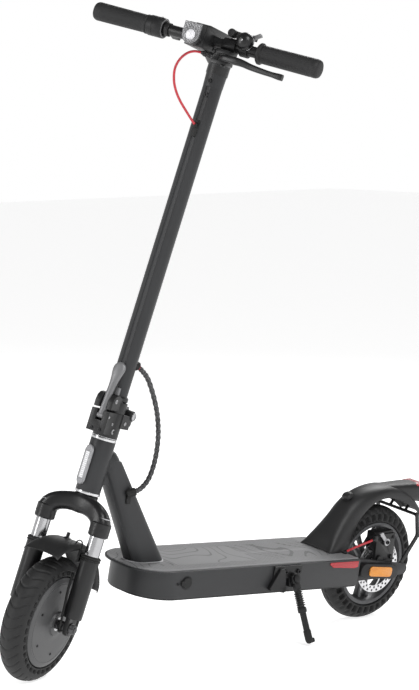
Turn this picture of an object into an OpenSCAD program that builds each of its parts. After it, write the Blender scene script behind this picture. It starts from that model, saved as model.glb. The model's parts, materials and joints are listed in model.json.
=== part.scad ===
// Folding electric kick scooter with front suspension, standing on its side stand.
// Row frame: +X forward, +Y to the rider's left, +Z up, ground at z = 0.
// Front pieces are drawn in the steering frame (x = ahead of the steering axis,
// y = left, z = along the steering axis); deck pieces in the deck frame (z = 0 on the mat).

/* [Stance] */
// Lean to the left, onto the side stand, in degrees
lean = 8.4; // [6:0.1:11]
// Turn of the bars to the left at rest, in degrees
steer = 20.4; // [0:0.1:25]
// Angle of the steering axis back from upright, in degrees
rake = 15.8; // [12:0.1:20]

/* [Wheels] */
// Radius of both tyres
wheel_r = 127; // [105:1:150]
// Width of both tyres
tyre_w = 54; // [45:1:58]
// Radius of the seat between tyre and rim
seat_r = 92; // [80:1:98]
// Distance between the wheel axles with the bars straight
wheelbase = 902; // [860:1:1080]
// Radius of the wheel axles
axle_r = 6; // [5:0.5:8]
// Radius of the brake rotor
rotor_r = 60; // [50:1:70]

/* [Deck] */
// Length of the deck
deck_len = 610; // [520:1:700]
// Width of the deck
deck_w = 175; // [150:1:210]
// Height of the deck's side wall
deck_h = 60; // [50:1:75]
// Wall of the deck tray
deck_wall = 3; // [2:0.5:4]
// Thickness of the rubber mat
mat_t = 3; // [2:0.5:5]
// Radius of the deck's front corners
corner_r = 75; // [50:1:75]
// Height of the mat above the ground where deck_mid is
deck_top = 193.8; // [185:0.1:215]
// Nose-up slope of the deck, in degrees
deck_pitch = 4.4; // [3:0.1:6]

/* [Front end] */
// Distance of the front axle and fork legs ahead of the steering axis
fork_offset = 24.7; // [15:0.1:35]
// Distance of each fork leg from the middle
leg_y = 62; // [58:1:75]
// Radius of the chromed upper fork tubes
stanchion_r = 15; // [12:0.5:16]
// Radius of the lower fork tubes
lower_r = 19; // [18:0.5:21]
// Travel of the suspension
fork_travel = 22; // [15:1:25]
// Lower end of the head tube, measured along the steering axis from the axle line
head_low = 262; // [255:1:280]
// Upper end of the head tube
head_high = 367; // [340:1:385]
// Outer radius of the head tube
head_r = 25; // [23:0.5:28]
// Outer radius of the stem tube
stem_r = 19.5; // [17:0.5:20.5]
// Wall of the stem tube
stem_wall = 3; // [2:0.5:4]
// Height of the handlebar along the steering axis
bar_s = 1165; // [950:1:1250]
// Distance of the handlebar ahead of the steering axis
bar_o = 87; // [80:1:100]
// Overall width over the grips
bar_w = 500; // [440:1:600]
// Outer radius of the handlebar
bar_r = 11; // [10:0.5:12]
// Outer radius of the grips
grip_r = 18.5; // [15:0.5:20]

/* [Rear] */
// Radius of the rear mudguard over the axle
guard_r = 173; // [165:1:185]
// Width of the rear mudguard
guard_w = 68; // [64:1:76]
// Distance of the inner face of each rear arm from the middle
arm_y = 62; // [60:1:66]
// Thickness of the rear arms
arm_t = 12; // [8:1:14]

/* [Side stand] */
// Outward splay of the stand's leg, in degrees
stand_splay = 20; // [14:1:26]
// Backward tilt of the stand's leg, in degrees
stand_back = 7; // [0:1:12]
// Radius of the stand's leg
stand_r = 7; // [5:0.5:9]

/* [Fits] */
// Radial clearance of a shaft that turns or slides in its bore
run_fit = 0.05; // [0.02:0.01:0.09]
// Gap between faces that face each other
face_gap = 0.1; // [0.05:0.05:0.2]
// Gap between pieces that move past each other
move_gap = 0.4; // [0.35:0.05:0.6]

/* [Hidden] */
$fn = 64;

hull_fn = 32;
section_r = tyre_w / 2;
deck_mid = 400;
deck_front = 313;
deck_back = deck_front - deck_len;
notch_end = deck_back + 38;
notch_w = tyre_w + 18;

// Middle of the steering axis at the height of the front axle
steer_x = wheelbase - fork_offset * cos(rake);
steer_z = wheel_r - fork_offset * sin(rake);

// Turns of a point about one axis
function turn_x(p, a) = [p[0], p[1] * cos(a) - p[2] * sin(a), p[1] * sin(a) + p[2] * cos(a)];
function turn_y(p, a) = [p[0] * cos(a) + p[2] * sin(a), p[1], -p[0] * sin(a) + p[2] * cos(a)];
function turn_z(p, a) = [p[0] * cos(a) - p[1] * sin(a), p[0] * sin(a) + p[1] * cos(a), p[2]];
// A point of the steering frame, bars turned, in the upright scooter's frame
function steered(p) = turn_y(turn_z(p, steer), -rake) + [steer_x, 0, steer_z];
// A point of the upright scooter after the nose drop about the rear axle and the lean
function leaned(p, drop) =
    turn_x(turn_y(p - [0, 0, wheel_r], drop) + [0, 0, wheel_r], -lean);
// Lowest height of a tyre from its middle and its axle direction
function tyre_low(c, w) = c[2] - (wheel_r - section_r) * sqrt(1 - w[2] * w[2]) - section_r;
rear_low = tyre_low(leaned([0, 0, wheel_r], 0), turn_x([0, 1, 0], -lean));
hub_mid = steered([fork_offset, 0, 0]);
hub_side = steered([fork_offset, 1, 0]);
function front_low(drop) =
    tyre_low(leaned(hub_mid, drop), leaned(hub_side, drop) - leaned(hub_mid, drop));
// Nose drop that sets the turned front wheel on the ground
first_drop = asin((front_low(0) - rear_low) / wheelbase);
nose_drop = first_drop + asin((front_low(first_drop) - rear_low) / wheelbase);

// Row origin: middle of the whole scooter's footprint, on the ground
tail_x = -guard_r + 19.5;
front_hub = leaned(hub_mid, nose_drop);
hub_way = leaned(hub_side, nose_drop) - front_hub;
front_reach = (wheel_r - section_r) * sqrt(1 - hub_way[0] * hub_way[0]) + section_r;
grip_end = leaned(steered([bar_o, bar_w / 2, bar_s]), nose_drop);
grip_reach = grip_r * sqrt(1 - hub_way[1] * hub_way[1]);
arm_out = arm_y + arm_t;
cap_depth = 14;
reflector_t = 3;
reflector_half = 11;
right_end = leaned([0, -arm_out - cap_depth - reflector_t, wheel_r - reflector_half], nose_drop);
origin_x = (tail_x + front_hub[0] + front_reach) / 2;
origin_y = (grip_end[1] + grip_reach + right_end[1]) / 2;

module on_stand() {
    translate([-origin_x, -origin_y, -rear_low])
        rotate([-lean, 0, 0])
            translate([0, 0, wheel_r])
                rotate([0, nose_drop, 0])
                    translate([0, 0, -wheel_r])
                        children();
}

module head_frame() {
    on_stand() translate([steer_x, 0, steer_z]) rotate([0, -rake, 0]) children();
}

module front_end() {
    head_frame() rotate([0, 0, steer]) children();
}

module front_hub_frame() {
    front_end() translate([fork_offset, 0, 0]) rotate([-90, 0, 0]) children();
}

module rear_hub_frame() {
    on_stand() translate([0, 0, wheel_r]) rotate([-90, 0, 0]) children();
}

module deck_frame() {
    on_stand() translate([deck_mid, 0, deck_top]) rotate([0, -deck_pitch, 0]) children();
}

// The rear axle seen in the deck frame
axle_at = turn_y([-deck_mid, 0, wheel_r - deck_top], deck_pitch);

module both_sides() {
    children();
    mirror([0, 1, 0]) children();
}

// A ring about z from z = low to z = high
module ring(outer, inner, low, high) {
    translate([0, 0, low])
        difference() {
            cylinder(r = outer, h = high - low);
            translate([0, 0, -1]) cylinder(r = inner, h = high - low + 2);
        }
}

// A rod along y from y = low to y = high
module rod_y(radius, low, high) {
    translate([0, low, 0]) rotate([-90, 0, 0]) cylinder(r = radius, h = high - low);
}

// A box between two corners
module block(low, high) {
    translate(low) cube(high - low);
}

// A tube swept along a list of points
function unit(v) = v / norm(v);
function heading(path, i) =
    unit(path[min(i + 1, len(path) - 1)] - path[max(i - 1, 0)]);
function across(d) = unit(cross(d, abs(d[2]) < 0.8 ? [0, 0, 1] : [0, 1, 0]));
function sweep_ring(path, i, radius, sides) =
    let (d = heading(path, i), u = across(d), v = cross(d, u))
    [for (k = [0 : sides - 1])
        path[i] + radius * (cos(360 * k / sides) * u + sin(360 * k / sides) * v)];
// Catmull-Rom points between the hand-chosen ones
function smooth_point(p, i, t) =
    let (a = p[max(i - 1, 0)], b = p[i], c = p[i + 1], d = p[min(i + 2, len(p) - 1)])
    0.5 * (2 * b + (c - a) * t + (2 * a - 5 * b + 4 * c - d) * t * t
        + (3 * b - a - 3 * c + d) * t * t * t);
function smooth_path(p, steps) =
    concat([for (i = [0 : len(p) - 2]) for (k = [0 : steps - 1]) smooth_point(p, i, k / steps)],
        [p[len(p) - 1]]);

module swept_tube(points, radius, sides, steps) {
    path = smooth_path(points, steps);
    last = len(path) - 1;
    rings = [for (i = [0 : last]) each sweep_ring(path, i, radius, sides)];
    walls = [for (i = [0 : last - 1]) for (k = [0 : sides - 1])
        let (a = i * sides + k, b = i * sides + (k + 1) % sides)
        each [[a, b, b + sides], [a, b + sides, a + sides]]];
    ends = [[for (k = [sides - 1 : -1 : 0]) k], [for (k = [0 : sides - 1]) last * sides + k]];
    polyhedron(points = rings, faces = concat([for (f = walls) [f[2], f[1], f[0]]],
        [for (f = ends) [for (k = [len(f) - 1 : -1 : 0]) f[k]]]));
}

// ---------------------------------------------------------------- deck

module deck_outline(inset, front) {
    side = deck_w / 2 - inset;
    round_x = front - corner_r;
    difference() {
        hull() {
            translate([deck_back + inset, -side]) square([10, 2 * side]);
            for (s = [-1, 1])
                translate([round_x, s * (deck_w / 2 - corner_r)]) circle(corner_r - inset);
        }
        translate([deck_back - 1, -notch_w / 2 - inset])
            square([notch_end - deck_back + 1 + inset, notch_w + 2 * inset]);
    }
}

module deck_slab(inset, low, high, front = deck_front) {
    translate([0, 0, low]) linear_extrude(high - low) deck_outline(inset, front);
}

front_lip = 18;
wall_front = deck_front - front_lip;
charge_x = 199;
charge_z = -27;
charge_r = 12;

module deck_shell() {
    color([0.12, 0.12, 0.13])
        deck_frame()
            difference() {
                union() {
                    deck_slab(0, -mat_t - deck_wall, -mat_t);
                    deck_slab(0, -deck_h, -mat_t - 1, wall_front);
                }
                deck_slab(deck_wall, -deck_h - 1, -mat_t - deck_wall, wall_front);
            }
}

mat_edge = 4;

module deck_mat() {
    color([0.5, 0.5, 0.5])
        deck_frame() deck_slab(mat_edge, -mat_t + face_gap / 2, 0);
}

cover_t = 3;
cover_edge = 2;

module bottom_cover() {
    color([0.08, 0.08, 0.08])
        deck_frame() deck_slab(cover_edge, -deck_h - face_gap - cover_t, -deck_h - face_gap,
            wall_front);
}

battery_back = -175;
battery_front = 225;
battery_w = 136;
battery_top = -20;

module battery_pack() {
    color([0.2, 0.3, 0.6])
        deck_frame()
            block([battery_back, -battery_w / 2, -deck_h + face_gap],
                [battery_front, battery_w / 2, battery_top]);
}

module motor_controller() {
    color([0.6, 0.6, 0.62])
        deck_frame()
            block([notch_end + 12, -42, -deck_h + face_gap], [battery_back - 10, 42, -30]);
}

// Cap over the charging socket, a rubber disc hinged at its front edge
cap_t = 4;

module charge_cap() {
    color([0.05, 0.05, 0.05])
        deck_frame() translate([charge_x, deck_w / 2 + move_gap, charge_z]) {
            rod_y(charge_r, 0, cap_t);
            block([charge_r - 4, 0, -5], [charge_r + 4, cap_t, 5]);
        }
}

// ---------------------------------------------------------------- frame neck

tube_foot_x = 247;
tube_foot_r = 26;
tube_foot_half = 17;
tube_top_r = 22;
tube_top_o = -34;
tube_top_s = 322;

module tube_body() {
    hull() {
        deck_frame()
            for (dx = [-tube_foot_half, tube_foot_half])
                translate([tube_foot_x + dx, 0, face_gap])
                    cylinder(r = tube_foot_r, h = 4, $fn = hull_fn);
        head_frame() translate([tube_top_o, 0, tube_top_s])
            cylinder(r = tube_top_r, h = 24, center = true, $fn = hull_fn);
    }
}

module down_tube() {
    color([0.1, 0.1, 0.11])
        difference() {
            union() {
                tube_body();
                head_frame() block([tube_top_o, -14, tube_top_s - 40], [0, 14, tube_top_s + 12]);
            }
            head_frame() translate([0, 0, head_low - 40])
                cylinder(r = head_r + face_gap, h = head_high - head_low + 60);
        }
}

steerer_r = 14.3;
head_bore = 17;
cup_t = 5;
cup_depth = 13;

module head_tube() {
    color([0.1, 0.1, 0.11]) head_frame() ring(head_r, head_bore, head_low, head_high);
}

module headset_bearings() {
    bore = steerer_r + run_fit;
    color([0.75, 0.75, 0.76])
        head_frame() {
            difference() {
                union() {
                    translate([0, 0, head_low - cup_t]) cylinder(r = head_r + 0.5, h = cup_t - face_gap);
                    translate([0, 0, head_low - cup_t])
                        cylinder(r = head_bore - run_fit, h = cup_t + cup_depth);
                }
                translate([0, 0, head_low - cup_t - 1]) cylinder(r = bore, h = 40);
            }
            difference() {
                union() {
                    translate([0, 0, head_high + face_gap])
                        cylinder(r = head_r + 0.5, h = cup_t - face_gap);
                    translate([0, 0, head_high - cup_depth])
                        cylinder(r = head_bore - run_fit, h = cup_t + cup_depth);
                }
                translate([0, 0, head_high - cup_depth - 1]) cylinder(r = bore, h = 40);
            }
        }
}

module front_reflector() {
    half = 10;
    color([0.9, 0.9, 0.9])
        head_frame() translate([head_r + face_gap, 0, 0]) {
            block([0, -half, head_low + 20], [5, half, head_high - 25]);
            for (s = [head_low + 20, head_high - 25])
                translate([0, 0, s]) rotate([0, 90, 0]) cylinder(r = half, h = 5);
        }
}

// ---------------------------------------------------------------- rear arms

arm_end_r = 17;
arm_tail = 45;
arm_tail_r = 12;
arm_top = -6;
arm_low = -56;

module arm_outline() {
    difference() {
        union() {
            polygon([[axle_at[0], axle_at[2] - arm_end_r],
                [deck_back - face_gap, arm_low],
                [deck_back - face_gap, arm_top],
                [deck_back - 34, arm_top - 3],
                [axle_at[0], axle_at[2] + arm_end_r]]);
            translate([axle_at[0], axle_at[2]]) circle(arm_end_r);
            polygon([[axle_at[0], axle_at[2] - arm_end_r + 1],
                [axle_at[0], axle_at[2] + arm_end_r - 1],
                [axle_at[0] - arm_tail, axle_at[2] + arm_tail_r - 0.5],
                [axle_at[0] - arm_tail, axle_at[2] - arm_tail_r + 0.5]]);
            translate([axle_at[0] - arm_tail, axle_at[2]]) circle(arm_tail_r);
        }
        translate([axle_at[0], axle_at[2]]) circle(axle_r + run_fit);
    }
}

module rear_arms() {
    color([0.09, 0.09, 0.1])
        deck_frame() both_sides()
            translate([0, arm_out, 0]) rotate([90, 0, 0])
                linear_extrude(arm_t) arm_outline();
}

cap_slope = 8.4;
cap_len = 84;
cap_r = 16;
cap_wall = 3;

module arm_caps() {
    color([0.04, 0.04, 0.04])
        on_stand() both_sides() translate([0, arm_out + face_gap, wheel_r])
            rotate([0, -cap_slope, 0])
                difference() {
                    union() {
                        rod_y(cap_r, 0, cap_depth);
                        translate([cap_len, 0, 0]) rod_y(cap_r, 0, cap_depth);
                        block([0, 0, -cap_r], [cap_len, cap_depth, cap_r]);
                    }
                    rod_y(cap_r - cap_wall, -1, cap_depth - cap_wall);
                }
}

module side_reflectors() {
    color([1, 0.5, 0.05])
        on_stand() both_sides()
            translate([0, arm_out + cap_depth + 2 * face_gap, wheel_r])
                rotate([0, -cap_slope, 0])
                    block([6, 0, -reflector_half], [cap_len - 8, reflector_t, reflector_half]);
}

// ---------------------------------------------------------------- rear mudguard

guard_t = 3;
skirt = 18;
guard_from = 50;
guard_to = 143;
guard_run = 118;

module guard_section() {
    translate([guard_r - guard_t, -guard_w / 2]) square([guard_t, guard_w]);
    for (y = [-guard_w / 2, guard_w / 2 - guard_t])
        translate([guard_r - skirt, y]) square([skirt, guard_t]);
}

tail_half = 27;

module rear_fender() {
    color([0.1, 0.1, 0.1])
        difference() {
            union() {
                on_stand() translate([0, 0, wheel_r]) {
                    rotate([90, 0, 0]) rotate([0, 0, guard_from])
                        rotate_extrude(angle = guard_to - guard_from, $fn = 96) guard_section();
                    rotate([0, -guard_from, 0])
                        translate([0, 0, -guard_run]) linear_extrude(guard_run + 0.5)
                            guard_section();
                    rotate([90, 0, 0]) translate([0, 0, -tail_half])
                        linear_extrude(2 * tail_half) tail_outline();
                    fold_hook();
                }
                deck_frame() {
                    block([deck_back + 8, notch_w / 2 - 3, face_gap],
                        [deck_back + 92, 46, 4]);
                    block([deck_back + 8, -46, face_gap],
                        [deck_back + 92, -notch_w / 2 + 3, 4]);
                    block([deck_back + 60, -46, face_gap], [deck_back + 92, 46, 4]);
                    block([deck_back + 12, 42, face_gap], [deck_back + 27, 58, 10]);
                }
            }
            deck_frame() block([deck_back - 60, -100, -120], [deck_back + 200, 100, face_gap]);
        }
}

// Outline of the hollow tail that holds the rear lamp, about the axle
module tail_outline() {
    polygon([[-15, guard_r - 2], [-62, guard_r + 2], [tail_x + 14, guard_r - 1],
        [tail_x + 4, guard_r - 10], [tail_x + 6, guard_r - 38],
        [-guard_r * cos(180 - guard_to) + 2, guard_r * sin(guard_to) + 1],
        [-118, 122], [-62, 159]]);
}

module tail_light() {
    color([0.8, 0.05, 0.05])
        on_stand() translate([0, 0, wheel_r])
            rotate([90, 0, 0]) translate([0, 0, -tail_half])
                linear_extrude(2 * tail_half)
                    polygon([[tail_x + 3.7, guard_r - 9], [tail_x, guard_r - 12],
                        [tail_x + 1, guard_r - 40], [tail_x + 5.7, guard_r - 38]]);
}

hook_at = 63.7;

// Knob on the mudguard that the folded stem hooks onto
module fold_hook() {
    rotate([0, 90 - hook_at, 0]) translate([0, 0, guard_r - 1]) {
        cylinder(r = 8, h = 11);
        translate([0, 0, 10]) cylinder(r = 12, h = 7);
    }
}

stay_y = arm_y - face_gap;
stay_t = 4;
stay_points = [[-86, 110], [-95, 63], [-arm_tail, -4]];

stay_w = 9;
stay_eye_r = 5.5;

module stay_bar(a, b) {
    d = b - a;
    translate([a[0], 0, a[1]]) rotate([0, -atan2(d[1], d[0]), 0])
        block([0, stay_y - stay_t, -stay_w / 2], [norm(d), stay_y - 0.5, stay_w / 2]);
}

module fender_stay() {
    color([0.12, 0.12, 0.12])
        on_stand() translate([0, 0, wheel_r]) {
            both_sides() {
                stay_bar(stay_points[0], stay_points[1]);
                stay_bar(stay_points[1], stay_points[2]);
                for (p = stay_points)
                    translate([p[0], 0, p[1]]) rod_y(stay_eye_r, stay_y - stay_t - 0.5, stay_y);
            }
            translate([stay_points[0][0], 0, stay_points[0][1]]) rotate([0, -38, 0]) {
                block([-2, 1 - stay_y, -3], [2, stay_y - 1, 3]);
                both_sides() block([-1.5, 20, 0], [1.5, 26, guard_r - guard_t - 142.6]);
            }
        }
}

// ---------------------------------------------------------------- rear brake

rotor_y = 38;
rotor_t = 2.2;
slot_low = rotor_y - 1.6;
slot_high = rotor_y + rotor_t + 1.6;
plate_y = 55;
pivot_x = 6;
pivot_z = rotor_r + 1;
pin_r = 3;

module caliper_body() {
    color([0.08, 0.08, 0.09])
        on_stand() translate([0, 0, wheel_r])
            difference() {
                union() {
                    block([-22, tyre_w / 2 + 4, rotor_r - 19], [34, plate_y, rotor_r + 22]);
                    block([-22, plate_y - 1, 12], [34, arm_y - 2 * face_gap, rotor_r + 18]);
                    block([30, plate_y - 1, rotor_r + 7], [46, arm_y - 2 * face_gap, rotor_r + 19]);
                    block([38, plate_y - 1, rotor_r + 7], [46, arm_y + 6, rotor_r + 19]);
                }
                block([-23, slot_low, rotor_r - 20], [35, slot_high, rotor_r + 5]);
                translate([pivot_x, 0, pivot_z]) rod_y(pin_r + run_fit, slot_high + 2, arm_y + 1);
            }
}

module brake_pads() {
    color([0.5, 0.35, 0.2])
        on_stand() translate([0, 0, wheel_r]) {
            block([-10, slot_low + face_gap, rotor_r - 16],
                [22, rotor_y - move_gap, rotor_r + 3]);
            block([-10, rotor_y + rotor_t + move_gap, rotor_r - 16],
                [22, slot_high - face_gap, rotor_r + 3]);
        }
}

module caliper_arm() {
    color([0.7, 0.7, 0.72])
        on_stand() translate([pivot_x, 0, wheel_r + pivot_z]) {
            rod_y(pin_r, slot_high + 4, arm_y + 2);
            rod_y(8, arm_y + move_gap, arm_y + 5);
            rotate([0, -47, 0]) {
                block([0, arm_y + 1, -4], [25, arm_y + 4, 4]);
                translate([25, 0, 0]) rod_y(5, arm_y + move_gap, arm_y + 4.5);
            }
        }
}

// Route of the rear brake's cable from the mudguard's foot to its stop, upright scooter
rear_cable_r = 2.5;
rear_cable_points = [[114, 51, 176], [102, 53, 180], [88, 56, 185], [74, 60, 190],
    [60, 64, 195], [47, 65, 199]];

module rear_brake_cable() {
    color([0.85, 0.1, 0.15]) on_stand() swept_tube(rear_cable_points, rear_cable_r, 8, 2);
}

// ---------------------------------------------------------------- wheels

module tyre() {
    rotate_extrude($fn = 96)
        difference() {
            translate([wheel_r - section_r, 0]) circle(section_r, $fn = 48);
            translate([0, -section_r - 1]) square([seat_r, tyre_w + 2]);
        }
}

bearing_r = 14;
bearing_w = 8;
rear_hub_half = 34;
rear_hub_r = 20;
nut_t = 9;
washer_t = 2;

module axle_nuts(start) {
    for (side = [0, 180])
        rotate([side, 0, 0]) translate([0, 0, start + face_gap])
            difference() {
                union() {
                    cylinder(r = axle_r * 2, h = washer_t);
                    cylinder(r = axle_r * 1.7, h = nut_t, $fn = 6);
                }
                translate([0, 0, -1]) cylinder(r = axle_r + run_fit, h = nut_t + 2);
            }
}

module rear_tyre() {
    color([0.06, 0.06, 0.06]) rear_hub_frame() tyre();
}

module rear_rim() {
    rim_r = seat_r - face_gap;
    color([0.25, 0.25, 0.26])
        rear_hub_frame()
            difference() {
                union() {
                    ring(rim_r, seat_r - 12, -22, 22);
                    for (k = [0 : 5])
                        rotate([0, 0, 60 * k]) block([rear_hub_r - 3, -8, -7], [seat_r - 9, 8, 7]);
                    cylinder(r = rear_hub_r, h = 2 * rear_hub_half, center = true);
                    translate([0, 0, rear_hub_half - 1])
                        cylinder(r = rear_hub_r + 7, h = rotor_y - rear_hub_half + 1 - face_gap);
                }
                translate([0, 0, -rotor_y - 1])
                    cylinder(r = bearing_r + run_fit, h = 2 * rotor_y + 2);
            }
}

module brake_rotor() {
    color([0.75, 0.75, 0.76])
        rear_hub_frame()
            difference() {
                ring(rotor_r, bearing_r + 2, rotor_y, rotor_y + rotor_t);
                for (k = [0 : 11])
                    rotate([0, 0, 30 * k]) translate([rotor_r - 10, 0, rotor_y - 1])
                        cylinder(r = 3.5, h = rotor_t + 2, $fn = 24);
            }
}

module bearing_pair(inner_face) {
    for (side = [0, 180])
        rotate([side, 0, 0])
            ring(bearing_r, axle_r + run_fit, inner_face, inner_face + bearing_w);
}

module rear_bearings() {
    color([0.6, 0.6, 0.62]) rear_hub_frame() bearing_pair(rear_hub_half - bearing_w - 1);
}

module rear_axle() {
    half = arm_out + nut_t + 1;
    color([0.65, 0.65, 0.66])
        rear_hub_frame() {
            cylinder(r = axle_r, h = 2 * half, center = true);
            for (side = [0, 180])
                rotate([side, 0, 0]) translate([0, 0, rear_hub_half + move_gap])
                    cylinder(r = 10, h = arm_y - face_gap - rear_hub_half - move_gap);
            axle_nuts(arm_out);
        }
}

module front_tyre() {
    color([0.06, 0.06, 0.06]) front_hub_frame() tyre();
}

hub_half = 30;
boss_half = 37;
cavity_r = seat_r - 10;

module hub_shell() {
    color([0.3, 0.3, 0.31])
        front_hub_frame()
            difference() {
                union() {
                    cylinder(r = seat_r - face_gap, h = 2 * (hub_half - 4), center = true);
                    cylinder(r = seat_r - 6, h = 2 * hub_half, center = true);
                    cylinder(r = 24, h = 2 * boss_half, center = true);
                }
                cylinder(r = cavity_r, h = 2 * (hub_half - 6), center = true);
                cylinder(r = bearing_r + run_fit, h = 2 * boss_half + 2, center = true);
            }
}

module hub_bearings() {
    color([0.6, 0.6, 0.62]) front_hub_frame() bearing_pair(boss_half - bearing_w - 1);
}

module motor_stator() {
    color([0.7, 0.4, 0.2])
        front_hub_frame() ring(cavity_r - 3, axle_r + run_fit, -18, 18);
}

drop_low = leg_y - 6;
drop_high = leg_y + 4;

module front_axle() {
    half = drop_high + nut_t + 2;
    color([0.65, 0.65, 0.66])
        front_hub_frame() {
            cylinder(r = axle_r, h = 2 * half, center = true);
            for (side = [0, 180])
                rotate([side, 0, 0]) translate([0, 0, boss_half + move_gap])
                    cylinder(r = 10, h = drop_low - face_gap - boss_half - move_gap);
            axle_nuts(drop_high);
        }
}

// ---------------------------------------------------------------- fork

crown_low = 188;
crown_under = 222;
crown_top = head_low - cup_t - move_gap;
socket_end = crown_low + 40;
crown_side = leg_y + 21;
crown_inner = leg_y - 21;

module steerer_tube() {
    color([0.6, 0.6, 0.62])
        front_end() ring(steerer_r, steerer_r - 3, crown_under + 1, head_high + 30);
}

module fork_crown() {
    color([0.05, 0.05, 0.06])
        front_end()
            difference() {
                union() {
                    translate([fork_offset + 21, 0, 0]) rotate([90, 0, -90])
                        linear_extrude(42)
                            polygon([[-crown_side, crown_low], [-crown_side, crown_low + 28],
                                [-leg_y + 4, crown_top - 15], [-22, crown_top], [22, crown_top],
                                [leg_y - 4, crown_top - 15], [crown_side, crown_low + 28],
                                [crown_side, crown_low], [crown_inner, crown_low],
                                [crown_inner, crown_low + 12], [26, crown_under - 6],
                                [10, crown_under], [-10, crown_under],
                                [-26, crown_under - 6], [-crown_inner, crown_low + 12],
                                [-crown_inner, crown_low]]);
                    translate([0, 0, crown_under]) cylinder(r = 24, h = crown_top - crown_under);
                }
                translate([0, 0, crown_under - 1]) cylinder(r = steerer_r + run_fit, h = 60);
                both_sides() translate([fork_offset, leg_y, crown_low - 1])
                    cylinder(r = stanchion_r + run_fit, h = socket_end - crown_low + 1);
            }
}

stanchion_low = 72;

module stanchions() {
    color([0.85, 0.85, 0.86])
        front_end() both_sides() translate([fork_offset, leg_y, stanchion_low])
            cylinder(r = stanchion_r, h = socket_end - face_gap - stanchion_low);
}

lower_top = 146;
lower_end = 24;
seal_lip = 1.5;

module fork_lowers() {
    color([0.12, 0.12, 0.13])
        front_end() both_sides() translate([fork_offset, 0, 0])
            difference() {
                union() {
                    translate([0, leg_y, lower_end - 4])
                        cylinder(r = lower_r, h = lower_top - lower_end - 4);
                    translate([0, leg_y, lower_top - 14])
                        cylinder(r = lower_r + seal_lip, h = 14);
                    block([-15, drop_low, 0], [15, drop_high, lower_end + 8]);
                    rod_y(16, drop_low, drop_high);
                }
                translate([0, leg_y, stanchion_low - fork_travel - 4])
                    cylinder(r = stanchion_r + run_fit, h = lower_top);
                rod_y(axle_r + run_fit, drop_low - 1, drop_high + 1);
            }
}

fender_r = wheel_r + 29;
fender_rise = 8;
fender_w = 74;
fender_t = 3;
fender_front = 36;
fender_back = 67;

module front_fender() {
    bridge_s = 128;
    color([0.07, 0.07, 0.07])
        front_end() {
            translate([fork_offset, 0, fender_rise]) rotate([90, 0, 0])
                rotate([0, 0, 90 - fender_front])
                    rotate_extrude(angle = fender_front + fender_back, $fn = 96) {
                        translate([fender_r - fender_t, -fender_w / 2])
                            square([fender_t, fender_w]);
                        for (y = [-fender_w / 2, fender_w / 2 - fender_t])
                            translate([fender_r - 13, y]) square([13, fender_t]);
                    }
            both_sides()
                block([fork_offset - 6, fender_w / 2 - 2, bridge_s],
                    [fork_offset + 6, leg_y - lower_r - seal_lip - face_gap,
                        fender_r + fender_rise - 6]);
            translate([fork_offset, 0, fender_r + fender_rise - 2])
                cylinder(r = 3.5, h = crown_under - fender_r - fender_rise - fork_travel - 4);
        }
}

// ---------------------------------------------------------------- folding joint

base_low = head_high + cup_t + move_gap;
split_s = 425;
base_top = split_s - move_gap / 2;
base_r = 25;
hinge_o = -38;
hinge_r = 11;
hinge_pin_r = 5;
knuckle_half = 13.6;
ear_out = 27;
lever_o = 43;
lever_s = 414;
lever_half = 6.8;
lever_pin_r = 3;

module fold_base() {
    color([0.05, 0.05, 0.06])
        front_end()
            difference() {
                union() {
                    translate([0, 0, base_low]) cylinder(r = base_r, h = base_top - base_low);
                    block([0, -20, base_low + 8], [lever_o + 6, 20, base_top]);
                    block([hinge_o + 2, -ear_out, split_s - 28], [0, ear_out, base_top]);
                    translate([hinge_o, 0, split_s]) both_sides()
                        rod_y(hinge_r, knuckle_half + move_gap, ear_out);
                    block([hinge_o - 2, -ear_out, split_s - 20], [hinge_o + 4, ear_out, split_s - 8]);
                }
                translate([0, 0, base_low - 1]) cylinder(r = steerer_r + run_fit, h = 25 + 1.1);
                translate([0, 0, base_low]) cylinder(r = 9, h = 60);
                translate([hinge_o, 0, split_s]) {
                    rod_y(hinge_r + 0.8, -knuckle_half - move_gap, knuckle_half + move_gap);
                    rod_y(hinge_pin_r + run_fit, -ear_out - 1, ear_out + 1);
                }
                block([hinge_o - 12, -knuckle_half - move_gap, split_s - 4],
                    [hinge_o + 9, knuckle_half + move_gap, split_s]);
                block([lever_o - 9, -lever_half - move_gap, lever_s - 10],
                    [lever_o + 7, lever_half + move_gap, base_top + 1]);
                translate([lever_o, 0, lever_s]) rod_y(lever_pin_r + run_fit, -18, 21);
            }
}

module fold_pins() {
    color([0.7, 0.7, 0.71])
        front_end() {
            translate([hinge_o, 0, split_s]) {
                rod_y(hinge_pin_r, -ear_out, ear_out);
                rod_y(hinge_pin_r + 3, ear_out + face_gap, ear_out + 4);
                rod_y(hinge_pin_r, ear_out - 1, ear_out + 2);
            }
            translate([lever_o, 0, lever_s]) rod_y(lever_pin_r, -17.5, 20);
        }
}

bulb_s = 512;
bulb_o = 25.6;

module fold_lever() {
    color([0.6, 0.6, 0.62])
        front_end()
            difference() {
                union() {
                    hull() {
                        translate([lever_o, 0, lever_s]) rod_y(5.5, -6, 6, $fn = hull_fn);
                        translate([bulb_o + 3, 0, bulb_s - 20]) rod_y(3.5, -6, 6, $fn = hull_fn);
                    }
                    translate([lever_o, 0, lever_s]) rod_y(6, -lever_half, lever_half);
                    hull() {
                        translate([bulb_o + 3, 0, bulb_s - 20]) rod_y(3.5, -6, 6, $fn = hull_fn);
                        translate([bulb_o - 3.5, 0, bulb_s]) rotate([0, 79, 0])
                            cylinder(r = 11, h = 7, $fn = hull_fn);
                    }
                }
                translate([lever_o, 0, lever_s]) rod_y(lever_pin_r + run_fit, -10, 10);
            }
}

collar_low = split_s + move_gap / 2;
collar_high = 447;
socket_s = collar_low + 5;
catch_o = 24;
catch_s = 454;
catch_y = 8;
catch_pin_r = 1.5;

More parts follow.
